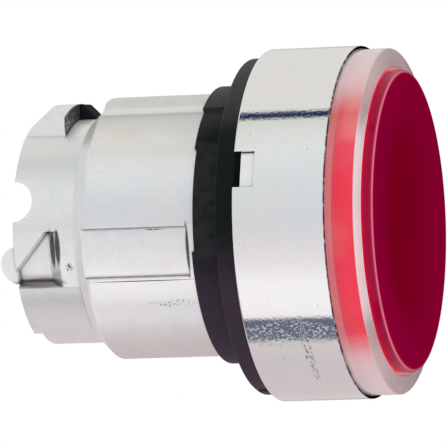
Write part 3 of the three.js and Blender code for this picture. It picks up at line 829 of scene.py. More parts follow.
def clearPolycarbonate():
    values = clearFinish
    material, tree, glass, place = newMaterial("clearPolycarbonate")
    glass.inputs["Base Color"].default_value = (*values["color"], 1)
    glass.inputs["IOR"].default_value = values["ior"]
    glass.inputs["Transmission Weight"].default_value = 1.0
    grain = effect(tree, "fineGrain", place, Scale=values["grainScale"], Smoothest=values["smoothest"],
                   Roughest=values["roughest"])
    addBump(tree, glass, grain["Height"], values)
    # the moulding is a little milky; painted light makes it paler at its ends and a painted highlight
    # whitens the middle of its front
    axes = axesOf(tree, place)
    ahead = mathNode(tree, "MULTIPLY", axes["Y"], -1.0)
    height = mathNode(tree, "ABSOLUTE", axes["Z"])
    middle = placeNode(tree, height, values["frontHeights"], 1.0, 0.0, smooth=True)
    face = mathNode(tree, "MULTIPLY", placeNode(tree, ahead, values["front"]), middle)
    foot = placeNode(tree, ahead, values["foot"], 0.0, values["footMilk"])
    cloud = rangeNode(tree, noiseNode(tree, place, values["cloudScale"], 2.0, 0.5), 0.3, 0.7,
                      -values["cloud"], values["cloud"])
    ends = placeNode(tree, height, values["ends"], values["milk"], values["paleEndShare"], smooth=True)
    share = mathNode(tree, "ADD", mathNode(tree, "ADD", foot, cloud), ends)
    share = mathNode(tree, "ADD", share, mathNode(tree, "MULTIPLY", face, values["frontHighlightShare"]), clamp=True)
    milk = tree.nodes.new("ShaderNodeBsdfPrincipled")
    # painted light: the milky part glows, with the painted highlight's colour on the front face
    for label, elsewhere in {"Base Color": "milkAndPaleEndColor", "Emission Color": "paleEndGlow"}.items():
        tree.links.new(mixNode(tree, face, values[elsewhere], values["frontHighlightColor"]), milk.inputs[label])
    milk.inputs["Emission Strength"].default_value = values["paintedGlowStrength"]
    for shader in (glass, milk):
        tree.links.new(grain["Roughness"], shader.inputs["Roughness"])
    both = eitherShader(tree, share, glass, milk)
    tree.links.new(both, tree.nodes["Material Output"].inputs["Surface"])
    return material


lensFinish = {
    "faceLightStops": (  # painted light: share of the lens's radius, and the colour there, brighter towards the edge and with a painted pink highlight on the rounded rim
        (0.00, (0.255, 0.0, 0.016)),
        (0.55, (0.265, 0.0, 0.018)),
        (0.80, (0.340, 0.0, 0.045)),
        (0.95, (0.370, 0.0, 0.050)),
        (0.974, (0.48, 0.0, 0.040)),
        (1.00, (0.80, 0.10, 0.16)),
    ),
    "sideLightStops": (  # painted light and shade: distance in front of the panel, and the colour there, pale next to the bezel, bright behind the clear ring, dark above it and with a painted pink highlight at the front edge
        (8.78, (0.95, 0.30, 0.32)),
        (9.45, (0.95, 0.22, 0.25)),
        (9.65, (0.96, 0.015, 0.065)),
        (11.75, (0.98, 0.015, 0.065)),
        (12.00, (0.75, 0.0, 0.045)),
        (12.16, (0.44, 0.0, 0.045)),
        (12.58, (0.38, 0.0, 0.045)),
        (12.70, (0.46, 0.005, 0.070)),
        (12.84, (0.95, 0.30, 0.36)),
    ),
    "sideFrom": (0.978, 0.99),  # share of the radius where the side's colours take over
    "farColor": (0.335, 0.0, 0.040),
    "far": (-5.0, 9.0),  # painted light and shade: the face's colour changes from the near side to the far one
    "farShare": 0.8,
    "deepColor": (0.10, 0.0, 0.008),
    "deepShare": 0.12,
    "tintScale": 130.0,
    "paleColor": (0.90, 0.26, 0.24),  # of the streaks that show through the clear ring
    "streakScale": 170.0,
    "streakShare": 0.7,
    "behindRing": (-11.9, -11.6),
    "grainScale": 900.0,
    "smoothest": 0.08,
    "roughest": 0.16,
    "bump": 0.12,
    "bumpDepth": 0.006,
    "specular": 0.12,
    "glow": 0.24,  # painted light: the lens glows, fully where it shows through the clear ring
    "faceGlow": 0.60,  # share of it elsewhere
}


def redLens(radius):
    values = lensFinish
    material, tree, shader, place = newMaterial("redLens")
    axes = axesOf(tree, place)
    share = placeNode(tree, effect(tree, "turningLines", place)["Radius"], (0.0, radius))
    face = rampNode(tree, share, values["faceLightStops"], 0.0, 1.0)
    across = placeNode(tree, axes["X"], values["far"], 0.0, values["farShare"], smooth=True)
    face = mixNode(tree, across, face, values["farColor"])
    drift = noiseNode(tree, place, values["tintScale"], 2.0, 0.5)
    deeper = rangeNode(tree, drift, *softNoise, 0.0, values["deepShare"])
    face = mixNode(tree, deeper, face, values["deepColor"])
    low, high = values["sideLightStops"][0][0], values["sideLightStops"][-1][0]
    side = rampNode(tree, placeNode(tree, axes["Y"], (-low, -high)), values["sideLightStops"], low, high)
    streak = noiseNode(tree, place, values["streakScale"], 2.0, 0.5)
    streak = rangeNode(tree, streak, 0.52, 0.70, 0.0, values["streakShare"], smooth=True)
    behind = placeNode(tree, axes["Y"], values["behindRing"])
    side = mixNode(tree, mathNode(tree, "MULTIPLY", streak, behind), side, values["paleColor"])
    onSide = rangeNode(tree, share, *values["sideFrom"], 0.0, 1.0)
    color = mixNode(tree, onSide, face, side)
    tree.links.new(color, shader.inputs["Base Color"])
    # painted light: the lens glows with its own colour, in full on the side behind the clear ring and in
    # part elsewhere
    lit = mathNode(tree, "MULTIPLY", behind, onSide)
    dim = mixNode(tree, values["faceGlow"], (0.0, 0.0, 0.0), color)
    tree.links.new(mixNode(tree, lit, dim, color), shader.inputs["Emission Color"])
    shader.inputs["Emission Strength"].default_value = values["glow"]
    shader.inputs["Specular IOR Level"].default_value = values["specular"]
    addBump(tree, shader, grainOf(tree, shader, place, values), values)
    return material


lensRadius = 12.5
stroke = 4.3
zinc = satinZinc()
chrome = brightChrome()
rubber = moulded("blackRubber", rubberFinish)
blackPlastic = moulded("blackPlastic", blackMouldingFinish)
whitePlastic = moulded("whitePlastic", whiteMouldingFinish)
steel = springSteel()
clear = clearPolycarbonate()
red = redLens(lensRadius)
print("stage: materials made")

# The fixed pieces.

barrel = {
    "radius": 10.7,
    "rear": -12.0,
    "tailRadius": 9.4,
    "tailRear": -18.6,
    "shoulderRear": -13.3,
    "tailBore": 7.6,
    "bushBore": 8.6,
    "bushBoreRear": -13.0,
    "springBore": 9.6,
    "springFloor": -4.0,
    "flangeRadius": 13.1,
    "flangeRear": 2.18,
    "flangeFront": 4.28,
    "sealSeatRadius": 11.3,
    "sealSeatFloor": 3.33,
    "grooveRadius": 12.54,
    "grooveRear": 3.33,
    "grooveFront": 4.03,
    "edge": 0.12,  # rounding of the cast edges
}

rib = {"radius": 11.1, "crest": 3.1, "foot": 4.23, "front": -0.6}
key = {"degrees": 18.8, "width": 2.95, "radius": 14.15, "front": 3.3}
keyway = {"depth": 0.5, "low": -22.0, "high": 1.3, "front": -3.3}
lug = {
    "halfWidth": 4.92,
    "rear": -18.5,
    "landRear": -16.95,
    "front": -15.05,
    "inner": 8.4,
    "sunk": 0.06,
    "low": 49.3,  # so that its steps fall between the tail's and the union is clean
    "high": 130.7,
}
recess = {"radius": 8.2, "low": -28.5, "high": 3.0, "crest": -14.7, "top": 0.1, "bottom": -3.03}
tab = {"radius": 1.6, "front": -18.3, "height": -2.6, "outer": 9.0, "low": -35.0, "high": 10.0}
scallop = {"radius": 1.65, "height": 2.66}
heel = {"height": -8.3, "length": 0.7, "halfWidth": 4.6}
relief = {"depth": 0.12, "low": -151.5, "high": -28.5}
stopBlock = {
    "middle": 0.5,
    "halfWidth": 1.2,
    "rise": 1.2,
    "land": 0.25,
    "gap": 0.05,
    "pegHalfWidth": 0.7,
    "pegDepth": 1.4,
    "edge": 0.1,
}


def ribBlock(gap=0.0):
    # a curved crest between two sloping sides, carried along the barrel
    crestAngle = math.degrees(math.asin(rib["crest"] / rib["radius"]))
    steps = 6
    crest = [toPlace(rib["radius"] + gap, barrel["rear"], 90 + crestAngle * step / steps)
             for step in range(-steps, steps + 1)]
    footHeight = math.sqrt(barrel["radius"] ** 2 - rib["foot"] ** 2)
    half = rib["foot"] + gap
    base = (barrel["springBore"] + footHeight) / 2
    near, far = -barrel["rear"], -rib["front"]
    points = [Vector((-half, near, base)), Vector((-half, near, footHeight)), *crest,
              Vector((half, near, footHeight)), Vector((half, near, base))]
    return extrudedBlock("rib", points, Vector((0, far - near - gap, 0)))


def lugBlock():
    # the sloping back runs on a little below the tail's surface
    slope = (lug["landRear"] - lug["rear"]) / (barrel["radius"] - barrel["tailRadius"])
    sunk = lug["sunk"]
    corners = [
        (lug["inner"], lug["rear"] + sunk),
        (barrel["tailRadius"] - sunk, lug["rear"] - sunk * slope),
        (barrel["radius"], lug["landRear"]),
        (barrel["radius"], lug["front"]),
        (lug["inner"], lug["front"]),
    ]
    block = sweptBlock("lug", corners, lug["low"], lug["high"])
    for side in (-1, 1):
        sliced(block, (side * lug["halfWidth"], 0, 0), (side, 0, 0))
    return block


def recessBlock(turn, beyond):
    outer = barrel["radius"] + 1
    floorFront = recess["crest"] - (barrel["tailRadius"] - recess["radius"])
    corners = [(recess["radius"], beyond), (outer, beyond),
               (outer, floorFront + outer - recess["radius"]), (recess["radius"], floorFront)]
    block = sweptBlock("recess", corners, recess["low"] + turn, recess["high"] + turn)
    flip = 1 if turn == 0 else -1
    fall = (recess["top"] - recess["bottom"]) / (floorFront - barrel["tailRear"])
    sliced(block, (0, 0, flip * recess["top"]), (0, 0, flip))
    sliced(block, (0, -floorFront, flip * recess["top"]), Vector((0, fall, flip)).normalized())
    return block


def tabBlock():
    end = barrel["tailRear"]
    block = ringSector("tab", barrel["tailBore"], tab["outer"], end - 2, end + 1, tab["low"], tab["high"])
    circle = roundPath(tab["front"], tab["height"], tab["radius"])
    return combined(block, acrossBlock("tabRound", circle, -12.0, 0.0), "INTERSECT")


def stopPeg(gap):
    front = (lug["front"] + barrel["shoulderRear"]) / 2
    half = stopBlock["pegHalfWidth"] + gap
    top = barrel["tailRadius"] + 0.5
    bottom = barrel["tailRadius"] - stopBlock["pegDepth"] - gap
    return acrossBox("peg", front - half, front + half, bottom, top, half, stopBlock["middle"])


def castBarrel():
    b = barrel
    edge = b["edge"]
    body = turnedPiece("castBarrel", [
        (b["tailBore"], b["tailRear"], edge),
        (b["tailRadius"], b["tailRear"], edge),
        (b["tailRadius"], b["shoulderRear"], 0.2),
        (b["radius"], b["rear"], 0.16),
        (b["radius"], b["flangeRear"], 0.2),
        (b["flangeRadius"], b["flangeRear"], edge),
        (b["flangeRadius"], b["grooveRear"]),
        (b["grooveRadius"], b["grooveRear"]),
        (b["grooveRadius"], b["grooveFront"]),
        (b["flangeRadius"], b["grooveFront"]),
        (b["flangeRadius"], b["flangeFront"], 0.08),
        (b["sealSeatRadius"], b["flangeFront"], 0.08),
        (b["sealSeatRadius"], b["sealSeatFloor"]),
        (b["springBore"], b["sealSeatFloor"], edge),
        (b["springBore"], b["springFloor"]),
        (b["bushBore"], b["springFloor"]),
        (b["bushBore"], b["bushBoreRear"]),
        (b["tailBore"], b["bushBoreRear"], edge),
    ])
    combined(body, ribBlock(), "UNION")
    keyBlock = radialBlock("key", key["width"], b["radius"] - 0.5, key["radius"], b["flangeRear"],
                           key["front"], key["degrees"])
    combined(body, keyBlock, "UNION")
    outer = b["radius"] + 1
    floor = b["radius"] - keyway["depth"]
    groove = ringSector("keyway", floor, outer, b["rear"] - 1, keyway["front"], keyway["low"],
                        keyway["high"])
    combined(body, groove, "DIFFERENCE")
    combined(body, tabBlock(), "UNION")
    combined(body, recessBlock(0, b["tailRear"] - 0.01), "DIFFERENCE")
    combined(body, recessBlock(180, b["tailRear"] - 2), "DIFFERENCE")
    inner = b["tailRadius"] - relief["depth"]
    front = b["shoulderRear"] + relief["depth"]
    shallow = ringSector("relief", inner, outer, b["tailRear"] - 1, front, relief["low"], relief["high"])
    combined(body, shallow, "DIFFERENCE")
    bite = roundPath(b["tailRear"], scallop["height"], scallop["radius"])
    combined(body, acrossBlock("scallop", bite, -b["tailRadius"] - 1, -1.0), "DIFFERENCE")
    combined(body, lugBlock(), "UNION")
    step = acrossBox("heel", b["tailRear"] - 1, b["tailRear"] + heel["length"], heel["height"] - 3,
                     heel["height"], heel["halfWidth"])
    combined(body, step, "DIFFERENCE")
    combined(body, stopPeg(stopBlock["gap"]), "DIFFERENCE")
    softEdges(body, edge)
    return install(body, "barrel_body", "housing", zinc)


def bayonetStop():
    s = stopBlock
    foot = barrel["tailRadius"] + s["gap"]
    rear = lug["front"] + s["gap"]
    outline = [(rear, foot), (rear, foot + s["rise"]), (rear + s["land"], foot + s["rise"]),
               (rear + s["land"] + s["rise"], foot)]
    block = acrossBlock("bayonetStop", outline, s["middle"] - s["halfWidth"], s["middle"] + s["halfWidth"])
    peg = stopPeg(0)
    sliced(peg, (0, 0, foot + 0.1), (0, 0, 1))
    combined(block, peg, "UNION")
    softEdges(block, s["edge"])
    return install(block, "bayonet_stop", "housing", blackPlastic)


bezel = {
    "radius": 14.6,
    "rear": 1.63,
    "front": 9.35,
    "lipRadius": 12.6,
    "lipFront": 2.13,
    "skirtBore": 13.2,
    "ledgeRear": 4.33,
    "ledgeFront": 4.98,
    "shankBore": 13.95,
    "mouthRadius": 14.325,
    "mouthRear": 8.9,
    "bore": 12.7,
    "edge": 0.13,
    "notchWidth": 3.05,
    "notchFront": 3.38,
    "notchEdge": 0.06,
}


def chromeBezel():
    b = bezel
    ring = turnedPiece("chromeBezel", [
        (b["lipRadius"], b["rear"], 0.1),
        (b["radius"], b["rear"], 0.15),
        (b["radius"], b["front"], b["edge"]),
        (b["mouthRadius"], b["front"], 0.05),
        (b["mouthRadius"], b["mouthRear"]),
        (b["shankBore"], b["mouthRear"], 0.04),
        (b["shankBore"], b["ledgeFront"]),
        (b["bore"], b["ledgeFront"], 0.08),
        (b["bore"], b["ledgeRear"], 0.08),
        (b["skirtBore"], b["ledgeRear"]),
        (b["skirtBore"], b["lipFront"]),
        (b["lipRadius"], b["lipFront"], 0.1),
    ])
    notch = radialBlock("notch", b["notchWidth"], barrel["radius"], b["radius"] + 1, b["rear"] - 1,
                        b["notchFront"], key["degrees"])
    combined(ring, notch, "DIFFERENCE")
    softEdges(ring, b["notchEdge"], 50)
    return install(ring, "bezel_ring", "housing", chrome)


guard = {
    "radius": 14.3,
    "shank": 13.9,
    "bore": 12.7,
    "rear": 5.28,
    "step": 8.95,
    "front": 12.03,
    "fall": 0.33,  # of the front face towards its outside
    "outerEdge": 0.18,
    "innerEdge": 0.15,
    "crown": 0.03,
}


def clearRing():
    g = guard
    middle = (g["radius"] + g["bore"]) / 2
    ring = turnedPiece("clearRing", [
        (g["bore"], g["rear"], 0.1),
        (g["shank"], g["rear"], 0.1),
        (g["shank"], g["step"], 0.03),
        (g["radius"], g["step"], 0.05),
        (g["radius"], g["front"] - g["fall"], g["outerEdge"]),
        (middle, g["front"] - g["fall"] / 2 + g["crown"], 0.6),
        (g["bore"], g["front"], g["innerEdge"]),
    ])
    return install(ring, "guard_ring", "housing", clear)


gasket = {
    "radius": 13.9,
    "thickness": 1.6,
    "bore": 10.75,
    "sleeveRadius": 11.35,
    "sleeveRear": -2.84,
    "bumpRadius": 11.7,
    "bumpHalfAngle": 32.4,
    "tabRadius": 14.02,
    "tabDegrees": -83.0,
    "tabHalfAngle": 6.0,
    "tabRear": 0.2,
    "ribGap": 0.05,
    "scallopFront": -2.59,
    "scallopLow": -10.0,
    "scallopHigh": 36.0,
    "edge": 0.18,
    "softening": 0.1,
}


def rubberGasket():
    g = gasket
    body = turnedPiece("rubberGasket", [
        (g["bore"], g["sleeveRear"], 0.1),
        (g["sleeveRadius"], g["sleeveRear"], 0.2),
        (g["sleeveRadius"], 0.0, 0.12),
        (g["radius"], 0.0, g["edge"]),
        (g["radius"], g["thickness"], 0.1),
        (g["bore"], g["thickness"], 0.1),
    ])
    low, high = 90 - g["bumpHalfAngle"], 90 + g["bumpHalfAngle"]
    inner, front = g["bore"] + g["ribGap"], g["thickness"] / 2
    corners = [(inner, g["sleeveRear"]), (g["bumpRadius"], g["sleeveRear"], 0.15), (g["bumpRadius"], front),
               (inner, front)]
    combined(body, sweptBlock("bump", corners, low, high), "UNION")
    corners = [(g["sleeveRadius"], g["tabRear"]), (g["tabRadius"], g["tabRear"], 0.1),
               (g["tabRadius"], g["thickness"], 0.1), (g["sleeveRadius"], g["thickness"])]
    low, high = g["tabDegrees"] - g["tabHalfAngle"], g["tabDegrees"] + g["tabHalfAngle"]
    combined(body, sweptBlock("pullTab", corners, low, high), "UNION")
    combined(body, ribBlock(g["ribGap"]), "DIFFERENCE")
    rise = ringSector("rise", g["bore"] - 1, g["sleeveRadius"] + 1, barrel["rear"], g["scallopFront"],
                      g["scallopLow"], g["scallopHigh"])
    combined(body, rise, "DIFFERENCE")
    softEdges(body, g["softening"])
    return install(body, "panel_gasket", "housing", rubber)


castBarrel()
bayonetStop()
chromeBezel()
clearRing()
rubberGasket()
print("stage: the body, bezel, clear ring and gasket made")

bush = {"inner": 7.0, "outer": 8.5, "rear": -12.95, "flangeRadius": 9.5, "under": -3.95, "front": -3.2}
pin = {"radius": 0.6, "axis": -10.5, "tip": 6.0, "head": 8.45, "edge": 0.15, "gap": 0.05, "sides": 32}
guardSealSize = {"inner": 12.75, "outer": 13.9, "rear": 4.98, "front": 5.23, "edge": 0.05}
bodyRingSize = {"radius": 12.87, "front": 3.68, "section": 0.28}
retainerSize = {"inner": 10.15, "outer": 11.25, "rear": 4.03, "front": 4.28, "edge": 0.04}
springSeatSize = {"inner": 7.05, "outer": 9.4, "rear": -3.15, "front": -2.85, "edge": 0.05}
spring = {
    "radius": 8.4,
    "wire": 0.25,
    "rear": -2.55,
    "front": 3.88,
    "turns": 5.5,
    "wireSides": 16,
    "stepsPerTurn": 40,
}
ringSides = 20  # round the section of an O-ring


def flatRing(name, size):
    edge = size["edge"]
    return turnedPiece(name, [
        (size["inner"], size["rear"], edge),
        (size["outer"], size["rear"], edge),
        (size["outer"], size["front"], edge),
        (size["inner"], size["front"], edge),
    ], steps=plainSteps)


def roundRing(name, size):
    circle = roundPath(size["front"], 0, size["section"], ringSides)
    corners = [(size["radius"] + height, front) for front, height in circle]
    return turnedPiece(name, corners, steps=plainSteps)


def guideBush():
    b = bush
    body = turnedPiece("guideBush", [
        (b["inner"], b["rear"], 0.15),
        (b["outer"], b["rear"], 0.15),
        (b["outer"], b["under"], 0.05),
        (b["flangeRadius"], b["under"], 0.1),
        (b["flangeRadius"], b["front"], 0.1),
        (b["inner"], b["front"], 0.15),
    ], steps=plainSteps)
    hole = roundPath(pin["axis"], 0, pin["radius"] + pin["gap"], pin["sides"])
    points = [Vector((height, -front, b["inner"] - 1)) for front, height in hole]
    combined(body, extrudedBlock("pinHole", points, Vector((0, 0, 4))), "DIFFERENCE")
    return install(body, "guide_bush", "housing", whitePlastic)


def guidePin():
    # a round bar, shaped from a cylinder whose end rims are rounded
    length = pin["head"] - pin["tip"]
    bpy.ops.object.select_all(action="DESELECT")
    middle = Vector((0, -pin["axis"], pin["tip"] + length / 2)) * mm
    bpy.ops.mesh.primitive_cylinder_add(vertices=pin["sides"], radius=pin["radius"] * mm, depth=length * mm,
                                        location=middle)
    bar = bpy.context.object
    bar.name = "guidePin"
    bpy.ops.object.transform_apply(location=True, rotation=True, scale=True)
    softEdges(bar, pin["edge"])
    return install(bar, "anti_turn_pin", "housing", steel)


def coiledSpring():
    s = spring
    bpy.ops.object.select_all(action="DESELECT")
    start = Vector((0, -s["rear"], s["radius"])) * mm
    bpy.ops.mesh.primitive_circle_add(vertices=s["wireSides"], radius=s["wire"] * mm, location=start,
                                      rotation=(0, math.pi / 2, 0))
    coil = bpy.context.object
    coil.name = "coiledSpring"
    bpy.ops.object.transform_apply(location=True, rotation=True, scale=True)
    modifier = coil.modifiers.new("helix", "SCREW")
    modifier.axis = "Y"
    modifier.angle = s["turns"] * fullTurn
    modifier.screw_offset = (s["rear"] - s["front"]) * mm
    modifier.steps = round(s["turns"] * s["stepsPerTurn"])
    modifier.render_steps = modifier.steps
    modifier.use_merge_vertices = True
    modifier.merge_threshold = weld
    bpy.ops.object.modifier_apply(modifier=modifier.name)
    bpy.ops.object.mode_set(mode="EDIT")
    bpy.ops.mesh.select_all(action="SELECT")
    bpy.ops.mesh.fill_holes(sides=0)
    closeSolid()
    install(coil, "return_spring", "housing", steel)
    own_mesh(coil)
    return coil


membrane = {
    "wall": 9.4,
    "thickness": 0.45,
    "beadInner": 10.15,
    "beadOuter": 11.2,
    "beadRear": 3.38,
    "beadFront": 3.98,
    "rear": 5.08,
    "lip": 8.4,
    "lipTop": 0.3,
    "lipInner": 7.65,
}


def rollingSeal():
    m = membrane
    crest = m["rear"] + m["thickness"]
    seal = turnedPiece("rollingSeal", [
        (m["wall"], m["beadRear"], 0.08),
        (m["beadOuter"], m["beadRear"], 0.15),
        (m["beadOuter"], m["beadFront"], 0.15),
        (m["beadInner"], m["beadFront"], 0.1),
        (m["wall"] + m["thickness"], m["beadFront"] + 0.2, 0.08),
        (m["wall"] + m["thickness"], crest, 0.3),
        (m["lip"] + 0.1, crest, 0.05),
        (m["lip"] + 0.1, crest + m["lipTop"], 0.1),
        (m["lipInner"], crest + m["lipTop"], 0.1),
        (m["lipInner"], m["rear"], 0.1),
        (m["wall"], m["rear"], 0.08),
    ], steps=plainSteps)
    dress(seal, rubber)
    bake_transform(seal)
    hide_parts("diaphragm_seal")
    return seal


guideBush()
guidePin()
install(flatRing("guardSeal", guardSealSize), "guard_seal", "housing", rubber)
install(roundRing("bodyRing", bodyRingSize), "body_o_ring", "housing", rubber)
install(flatRing("sealRetainer", retainerSize), "diaphragm_retainer", "housing", steel)
install(flatRing("springWasher", springSeatSize), "spring_seat", "housing", steel)
coiledSpring()
rollingSeal()
print("stage: the bush, seals and spring made")

# The pieces that move with the lens.

lens = {
    "radius": lensRadius,
    "inner": 11.4,
    "under": 11.65,
    "rear": 8.78,
    "front": 12.9,
    "edge": 0.28,
    "crown": 0.05,
    "middle": 0.6,  # share of the radius where the crown has a ring of points
}


def lensCap():
    s = lens
    cap = turnedPiece("lensCap", [
        (0, s["front"]),
        (s["radius"] * s["middle"], s["front"] - s["crown"] * s["middle"] ** 2),
        (s["radius"], s["front"] - s["crown"], s["edge"]),
        (s["radius"], s["rear"], 0.12),
        (s["inner"], s["rear"], 0.12),
        (s["inner"], s["under"], 0.3),
        (0, s["under"]),
    ], closed=False)
    return install(cap, "lens_cap", "plunger", red)


carrier = {
    "bore": 5.975,
    "rear": -4.0,
    "slideRadius": 6.85,
    "stemFoot": 2.0,
    "stemRadius": 7.6,
    "collarRear": 4.18,
    "collarFront": 4.98,
    "collarRadius": 9.2,
    "platformRear": 8.9,
    "platformFront": 10.0,
    "platformRadius": 11.25,
    "grooveRadius": 10.65,
    "grooveHalf": 0.35,
}


def lensCarrier():
    c = carrier
    middle = (c["platformRear"] + c["platformFront"]) / 2
    body = turnedPiece("lensCarrier", [
        (c["bore"], c["rear"], 0.1),
        (c["slideRadius"], c["rear"], 0.1),
        (c["slideRadius"], c["stemFoot"], 0.05),
        (c["stemRadius"], c["stemFoot"], 0.15),
        (c["stemRadius"], c["collarRear"], 0.1),
        (c["collarRadius"], c["collarRear"], 0.12),
        (c["collarRadius"], c["collarFront"], 0.12),
        (c["stemRadius"], c["collarFront"], 0.03),
        (c["stemRadius"], c["platformRear"], 0.2),
        (c["platformRadius"], c["platformRear"], 0.1),
        (c["platformRadius"], middle - c["grooveHalf"]),
        (c["grooveRadius"], middle - c["grooveHalf"]),
        (c["grooveRadius"], middle + c["grooveHalf"]),
        (c["platformRadius"], middle + c["grooveHalf"]),
        (c["platformRadius"], c["platformFront"], 0.1),
        (c["bore"], c["platformFront"], 0.15),
    ], steps=plainSteps)
    return install(body, "lens_carrier", "plunger", blackPlastic)


diffuser = {"radius": 11.25, "rear": 10.6, "front": 11.6, "edge": 0.15}
legend = {"radius": 11.25, "rear": 10.05, "front": 10.55, "edge": 0.12}
lensRingSize = {"radius": 11.0, "front": 9.45, "section": 0.3}
clampRingSize = {"inner": 7.65, "outer": 8.9, "rear": 5.88, "front": 6.38, "edge": 0.08}
stopWasherSize = {"inner": 6.9, "outer": 7.5, "rear": -13.3, "front": -13.0, "edge": 0.06}


def flatDisc(name, size):
    return turnedPiece(name, [
        (0, size["rear"]),
        (size["radius"], size["rear"], size["edge"]),
        (size["radius"], size["front"], size["edge"]),
        (0, size["front"]),
    ], closed=False, steps=plainSteps)


lensCap()
lensCarrier()
install(flatDisc("diffuserDisc", diffuser), "diffuser_disc", "plunger", whitePlastic)
install(flatDisc("legendInsert", legend), "legend_insert", "plunger", whitePlastic)
install(roundRing("lensRing", lensRingSize), "lens_seal", "plunger", rubber)
install(flatRing("clampRing", clampRingSize), "diaphragm_clamp_ring", "plunger", steel)
print("stage: the lens and its carrier made")

pusher = {
    "bore": 5.2,
    "radius": 6.85,
    "rear": -15.2,
    "front": -4.1,
    "spigotRadius": 5.9,
    "spigotFront": -1.6,
    "clipGrooveRear": -13.9,
    "clipGrooveFront": -13.3,
    "clipGrooveRadius": 6.3,
    "footGap": 6.0,
    "footHeight": 2.2,
    "slotHalf": 0.75,
    "slotWall": 1.7,
    "edge": 0.1,
}
clip = {"inner": 6.35, "outer": 7.45, "rear": -13.85, "front": -13.35, "opening": 25.0, "edge": 0.08}


def pusherSleeve():
    p = pusher
    body = turnedPiece("pusherSleeve", [
        (p["bore"], p["rear"], 0.15),
        (p["radius"], p["rear"], 0.2),
        (p["radius"], p["clipGrooveRear"]),
        (p["clipGrooveRadius"], p["clipGrooveRear"]),
        (p["clipGrooveRadius"], p["clipGrooveFront"]),
        (p["radius"], p["clipGrooveFront"]),
        (p["radius"], p["front"], 0.1),
        (p["spigotRadius"], p["front"], 0.05),
        (p["spigotRadius"], p["spigotFront"], 0.15),
        (p["bore"], p["spigotFront"], 0.1),
    ], steps=plainSteps)
    wide = 2 * p["radius"]
    between = acrossBox("betweenFeet", p["rear"] - p["footHeight"], p["rear"] + p["footHeight"], -wide,
                        wide, p["footGap"] / 2)
    combined(body, between, "DIFFERENCE")
    slot = acrossBox("slot", pin["axis"] - p["slotHalf"], pin["axis"] + stroke + p["slotHalf"],
                     p["radius"] - p["slotWall"], wide, p["slotHalf"])
    combined(body, slot, "DIFFERENCE")
    softEdges(body, p["edge"])
    return install(body, "pusher_sleeve", "plunger", blackPlastic)


def pusherClip():
    c = clip
    body = ringSector("pusherClip", c["inner"], c["outer"], c["rear"], c["front"], c["opening"] - 90,
                      270 - c["opening"])
    softEdges(body, c["edge"])
    return install(body, "pusher_clip", "plunger", steel)


pusherSleeve()
install(flatRing("stopWasher", stopWasherSize), "stop_washer", "plunger", rubber)
pusherClip()
print("stage: the pusher and its clip made")

# The studio.

studio = {
    "floorSize": 3.0,
    "floorDrop": 0.4,  # below the object
    "white": 1.0,
    "stops": (  # turn of the light round the axis in degrees, 0 towards -X and 90 up, and its colour
        (-180, (0.70, 0.66, 0.67)),
        (-140, (0.64, 0.57, 0.58)),
        (-100, (0.63, 0.57, 0.59)),
        (-82, (0.66, 0.62, 0.61)),
        (-80, (0.14, 0.17, 0.22)),
        (-64, (0.12, 0.14, 0.20)),
        (-62, (0.92, 0.89, 0.90)),
        (-50, (0.96, 0.94, 0.95)),
        (-38, (0.95, 0.93, 0.94)),
        (-22, (0.82, 0.78, 0.80)),
        (-8, (0.74, 0.72, 0.74)),
        (2, (0.69, 0.70, 0.72)),
        (25, (0.71, 0.74, 0.75)),
        (50, (0.78, 0.80, 0.81)),
        (66, (0.72, 0.75, 0.72)),
        (73.2, (0.66, 0.70, 0.64)),
        (73.7, (0.022, 0.035, 0.09)),
        (79.0, (0.022, 0.035, 0.09)),
        (79.5, (0.76, 0.75, 0.72)),
        (110, (0.77, 0.75, 0.72)),
        (150, (0.75, 0.74, 0.72)),
        (180, (0.74, 0.72, 0.71)),
    ),
    "shadeTowards": (0.963, -0.27, 0.0),
    "shadeAngles": (36.0, 22.0),  # where the dark patch starts and where it is full, from its middle
    "shadeDepth": 0.0,  # light left there
}


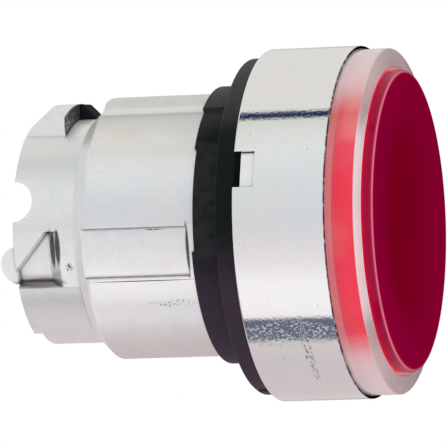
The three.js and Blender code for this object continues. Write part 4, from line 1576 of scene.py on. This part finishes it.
def softRoom():
    world = bpy.data.worlds.new("softRoom")
    bpy.context.scene.world = world
    world.use_nodes = True
    tree = world.node_tree
    tree.nodes.clear()
    direction = tree.nodes.new("ShaderNodeTexCoord").outputs["Generated"]
    axes = axesOf(tree, direction)
    turn = mathNode(tree, "ARCTAN2", axes["Z"], mathNode(tree, "MULTIPLY", axes["X"], -1.0))
    share = rangeNode(tree, turn, -math.pi, math.pi, 0.0, 1.0)
    light = rampNode(tree, share, studio["stops"], -180, 180)
    # a dark patch ahead on the far side, so that the lens keeps its colour
    towards = tree.nodes.new("ShaderNodeVectorMath")
    towards.operation = "DOT_PRODUCT"
    tree.links.new(direction, towards.inputs[0])
    towards.inputs[1].default_value = studio["shadeTowards"]
    wide, narrow = (math.cos(math.radians(degrees)) for degrees in studio["shadeAngles"])
    strength = rangeNode(tree, towards.outputs["Value"], wide, narrow, 1.0, studio["shadeDepth"],
                         smooth=True)
    room = tree.nodes.new("ShaderNodeBackground")
    tree.links.new(light, room.inputs["Color"])
    tree.links.new(strength, room.inputs["Strength"])
    white = tree.nodes.new("ShaderNodeBackground")
    white.inputs["Color"].default_value = (1, 1, 1, 1)
    white.inputs["Strength"].default_value = studio["white"]
    rays = tree.nodes.new("ShaderNodeLightPath")
    seen = mathNode(tree, "MAXIMUM", rays.outputs["Is Camera Ray"], rays.outputs["Is Transmission Ray"])
    output = tree.nodes.new("ShaderNodeOutputWorld")
    tree.links.new(eitherShader(tree, seen, room, white), output.inputs["Surface"])


def paleFloor():
    lowest = cadBox[0].z - studio["floorDrop"] * mm
    bpy.ops.object.select_all(action="DESELECT")
    bpy.ops.mesh.primitive_plane_add(size=studio["floorSize"], location=(0, 0, lowest))
    floor = bpy.context.object
    floor.name = "paleFloor"
    material = bpy.data.materials.new("paleFloor")
    material.use_nodes = True
    tree = material.node_tree
    tree.nodes.clear()
    glow = tree.nodes.new("ShaderNodeEmission")
    glow.inputs["Strength"].default_value = studio["white"]
    through = tree.nodes.new("ShaderNodeBsdfTransparent")
    below = tree.nodes.new("ShaderNodeNewGeometry").outputs["Backfacing"]
    output = tree.nodes.new("ShaderNodeOutputMaterial")
    tree.links.new(eitherShader(tree, below, glow, through), output.inputs["Surface"])
    floor.data.materials.append(material)
    floor.visible_glossy = False
    floor.visible_diffuse = False
    floor.visible_shadow = False


view = {
    "azimuth": 15.65,  # of the line of sight from the lens's plane, in degrees
    "roll": 1.968,
    "distance": 600.0,
    "focalLength": 582.3,
    "aimBehind": 3.032,  # of the aim from the origin, along the picture
    "aimAbove": 0.207,
    "sensorWidth": 36.0,
    "nearest": 10.0,
    "farthest": 10000.0,
}


def placeCamera():
    camera = bpy.data.objects.new("camera", bpy.data.cameras.new("camera"))
    bpy.context.scene.collection.objects.link(camera)
    camera.rotation_euler = (math.pi / 2, math.radians(view["roll"]), math.radians(view["azimuth"] - 90))
    turn = camera.rotation_euler.to_matrix()
    aim = turn @ Vector((-view["aimBehind"], view["aimAbove"], view["distance"]))
    camera.location = aim * mm
    camera.data.lens = view["focalLength"]
    camera.data.sensor_width = view["sensorWidth"]
    camera.data.clip_start = view["nearest"] * mm
    camera.data.clip_end = view["farthest"] * mm
    bpy.context.scene.camera = camera


softRoom()
paleFloor()
placeCamera()
bpy.context.scene.view_settings.view_transform = "Standard"
bpy.context.scene.view_settings.look = "None"
print("stage: the room, floor and camera made")
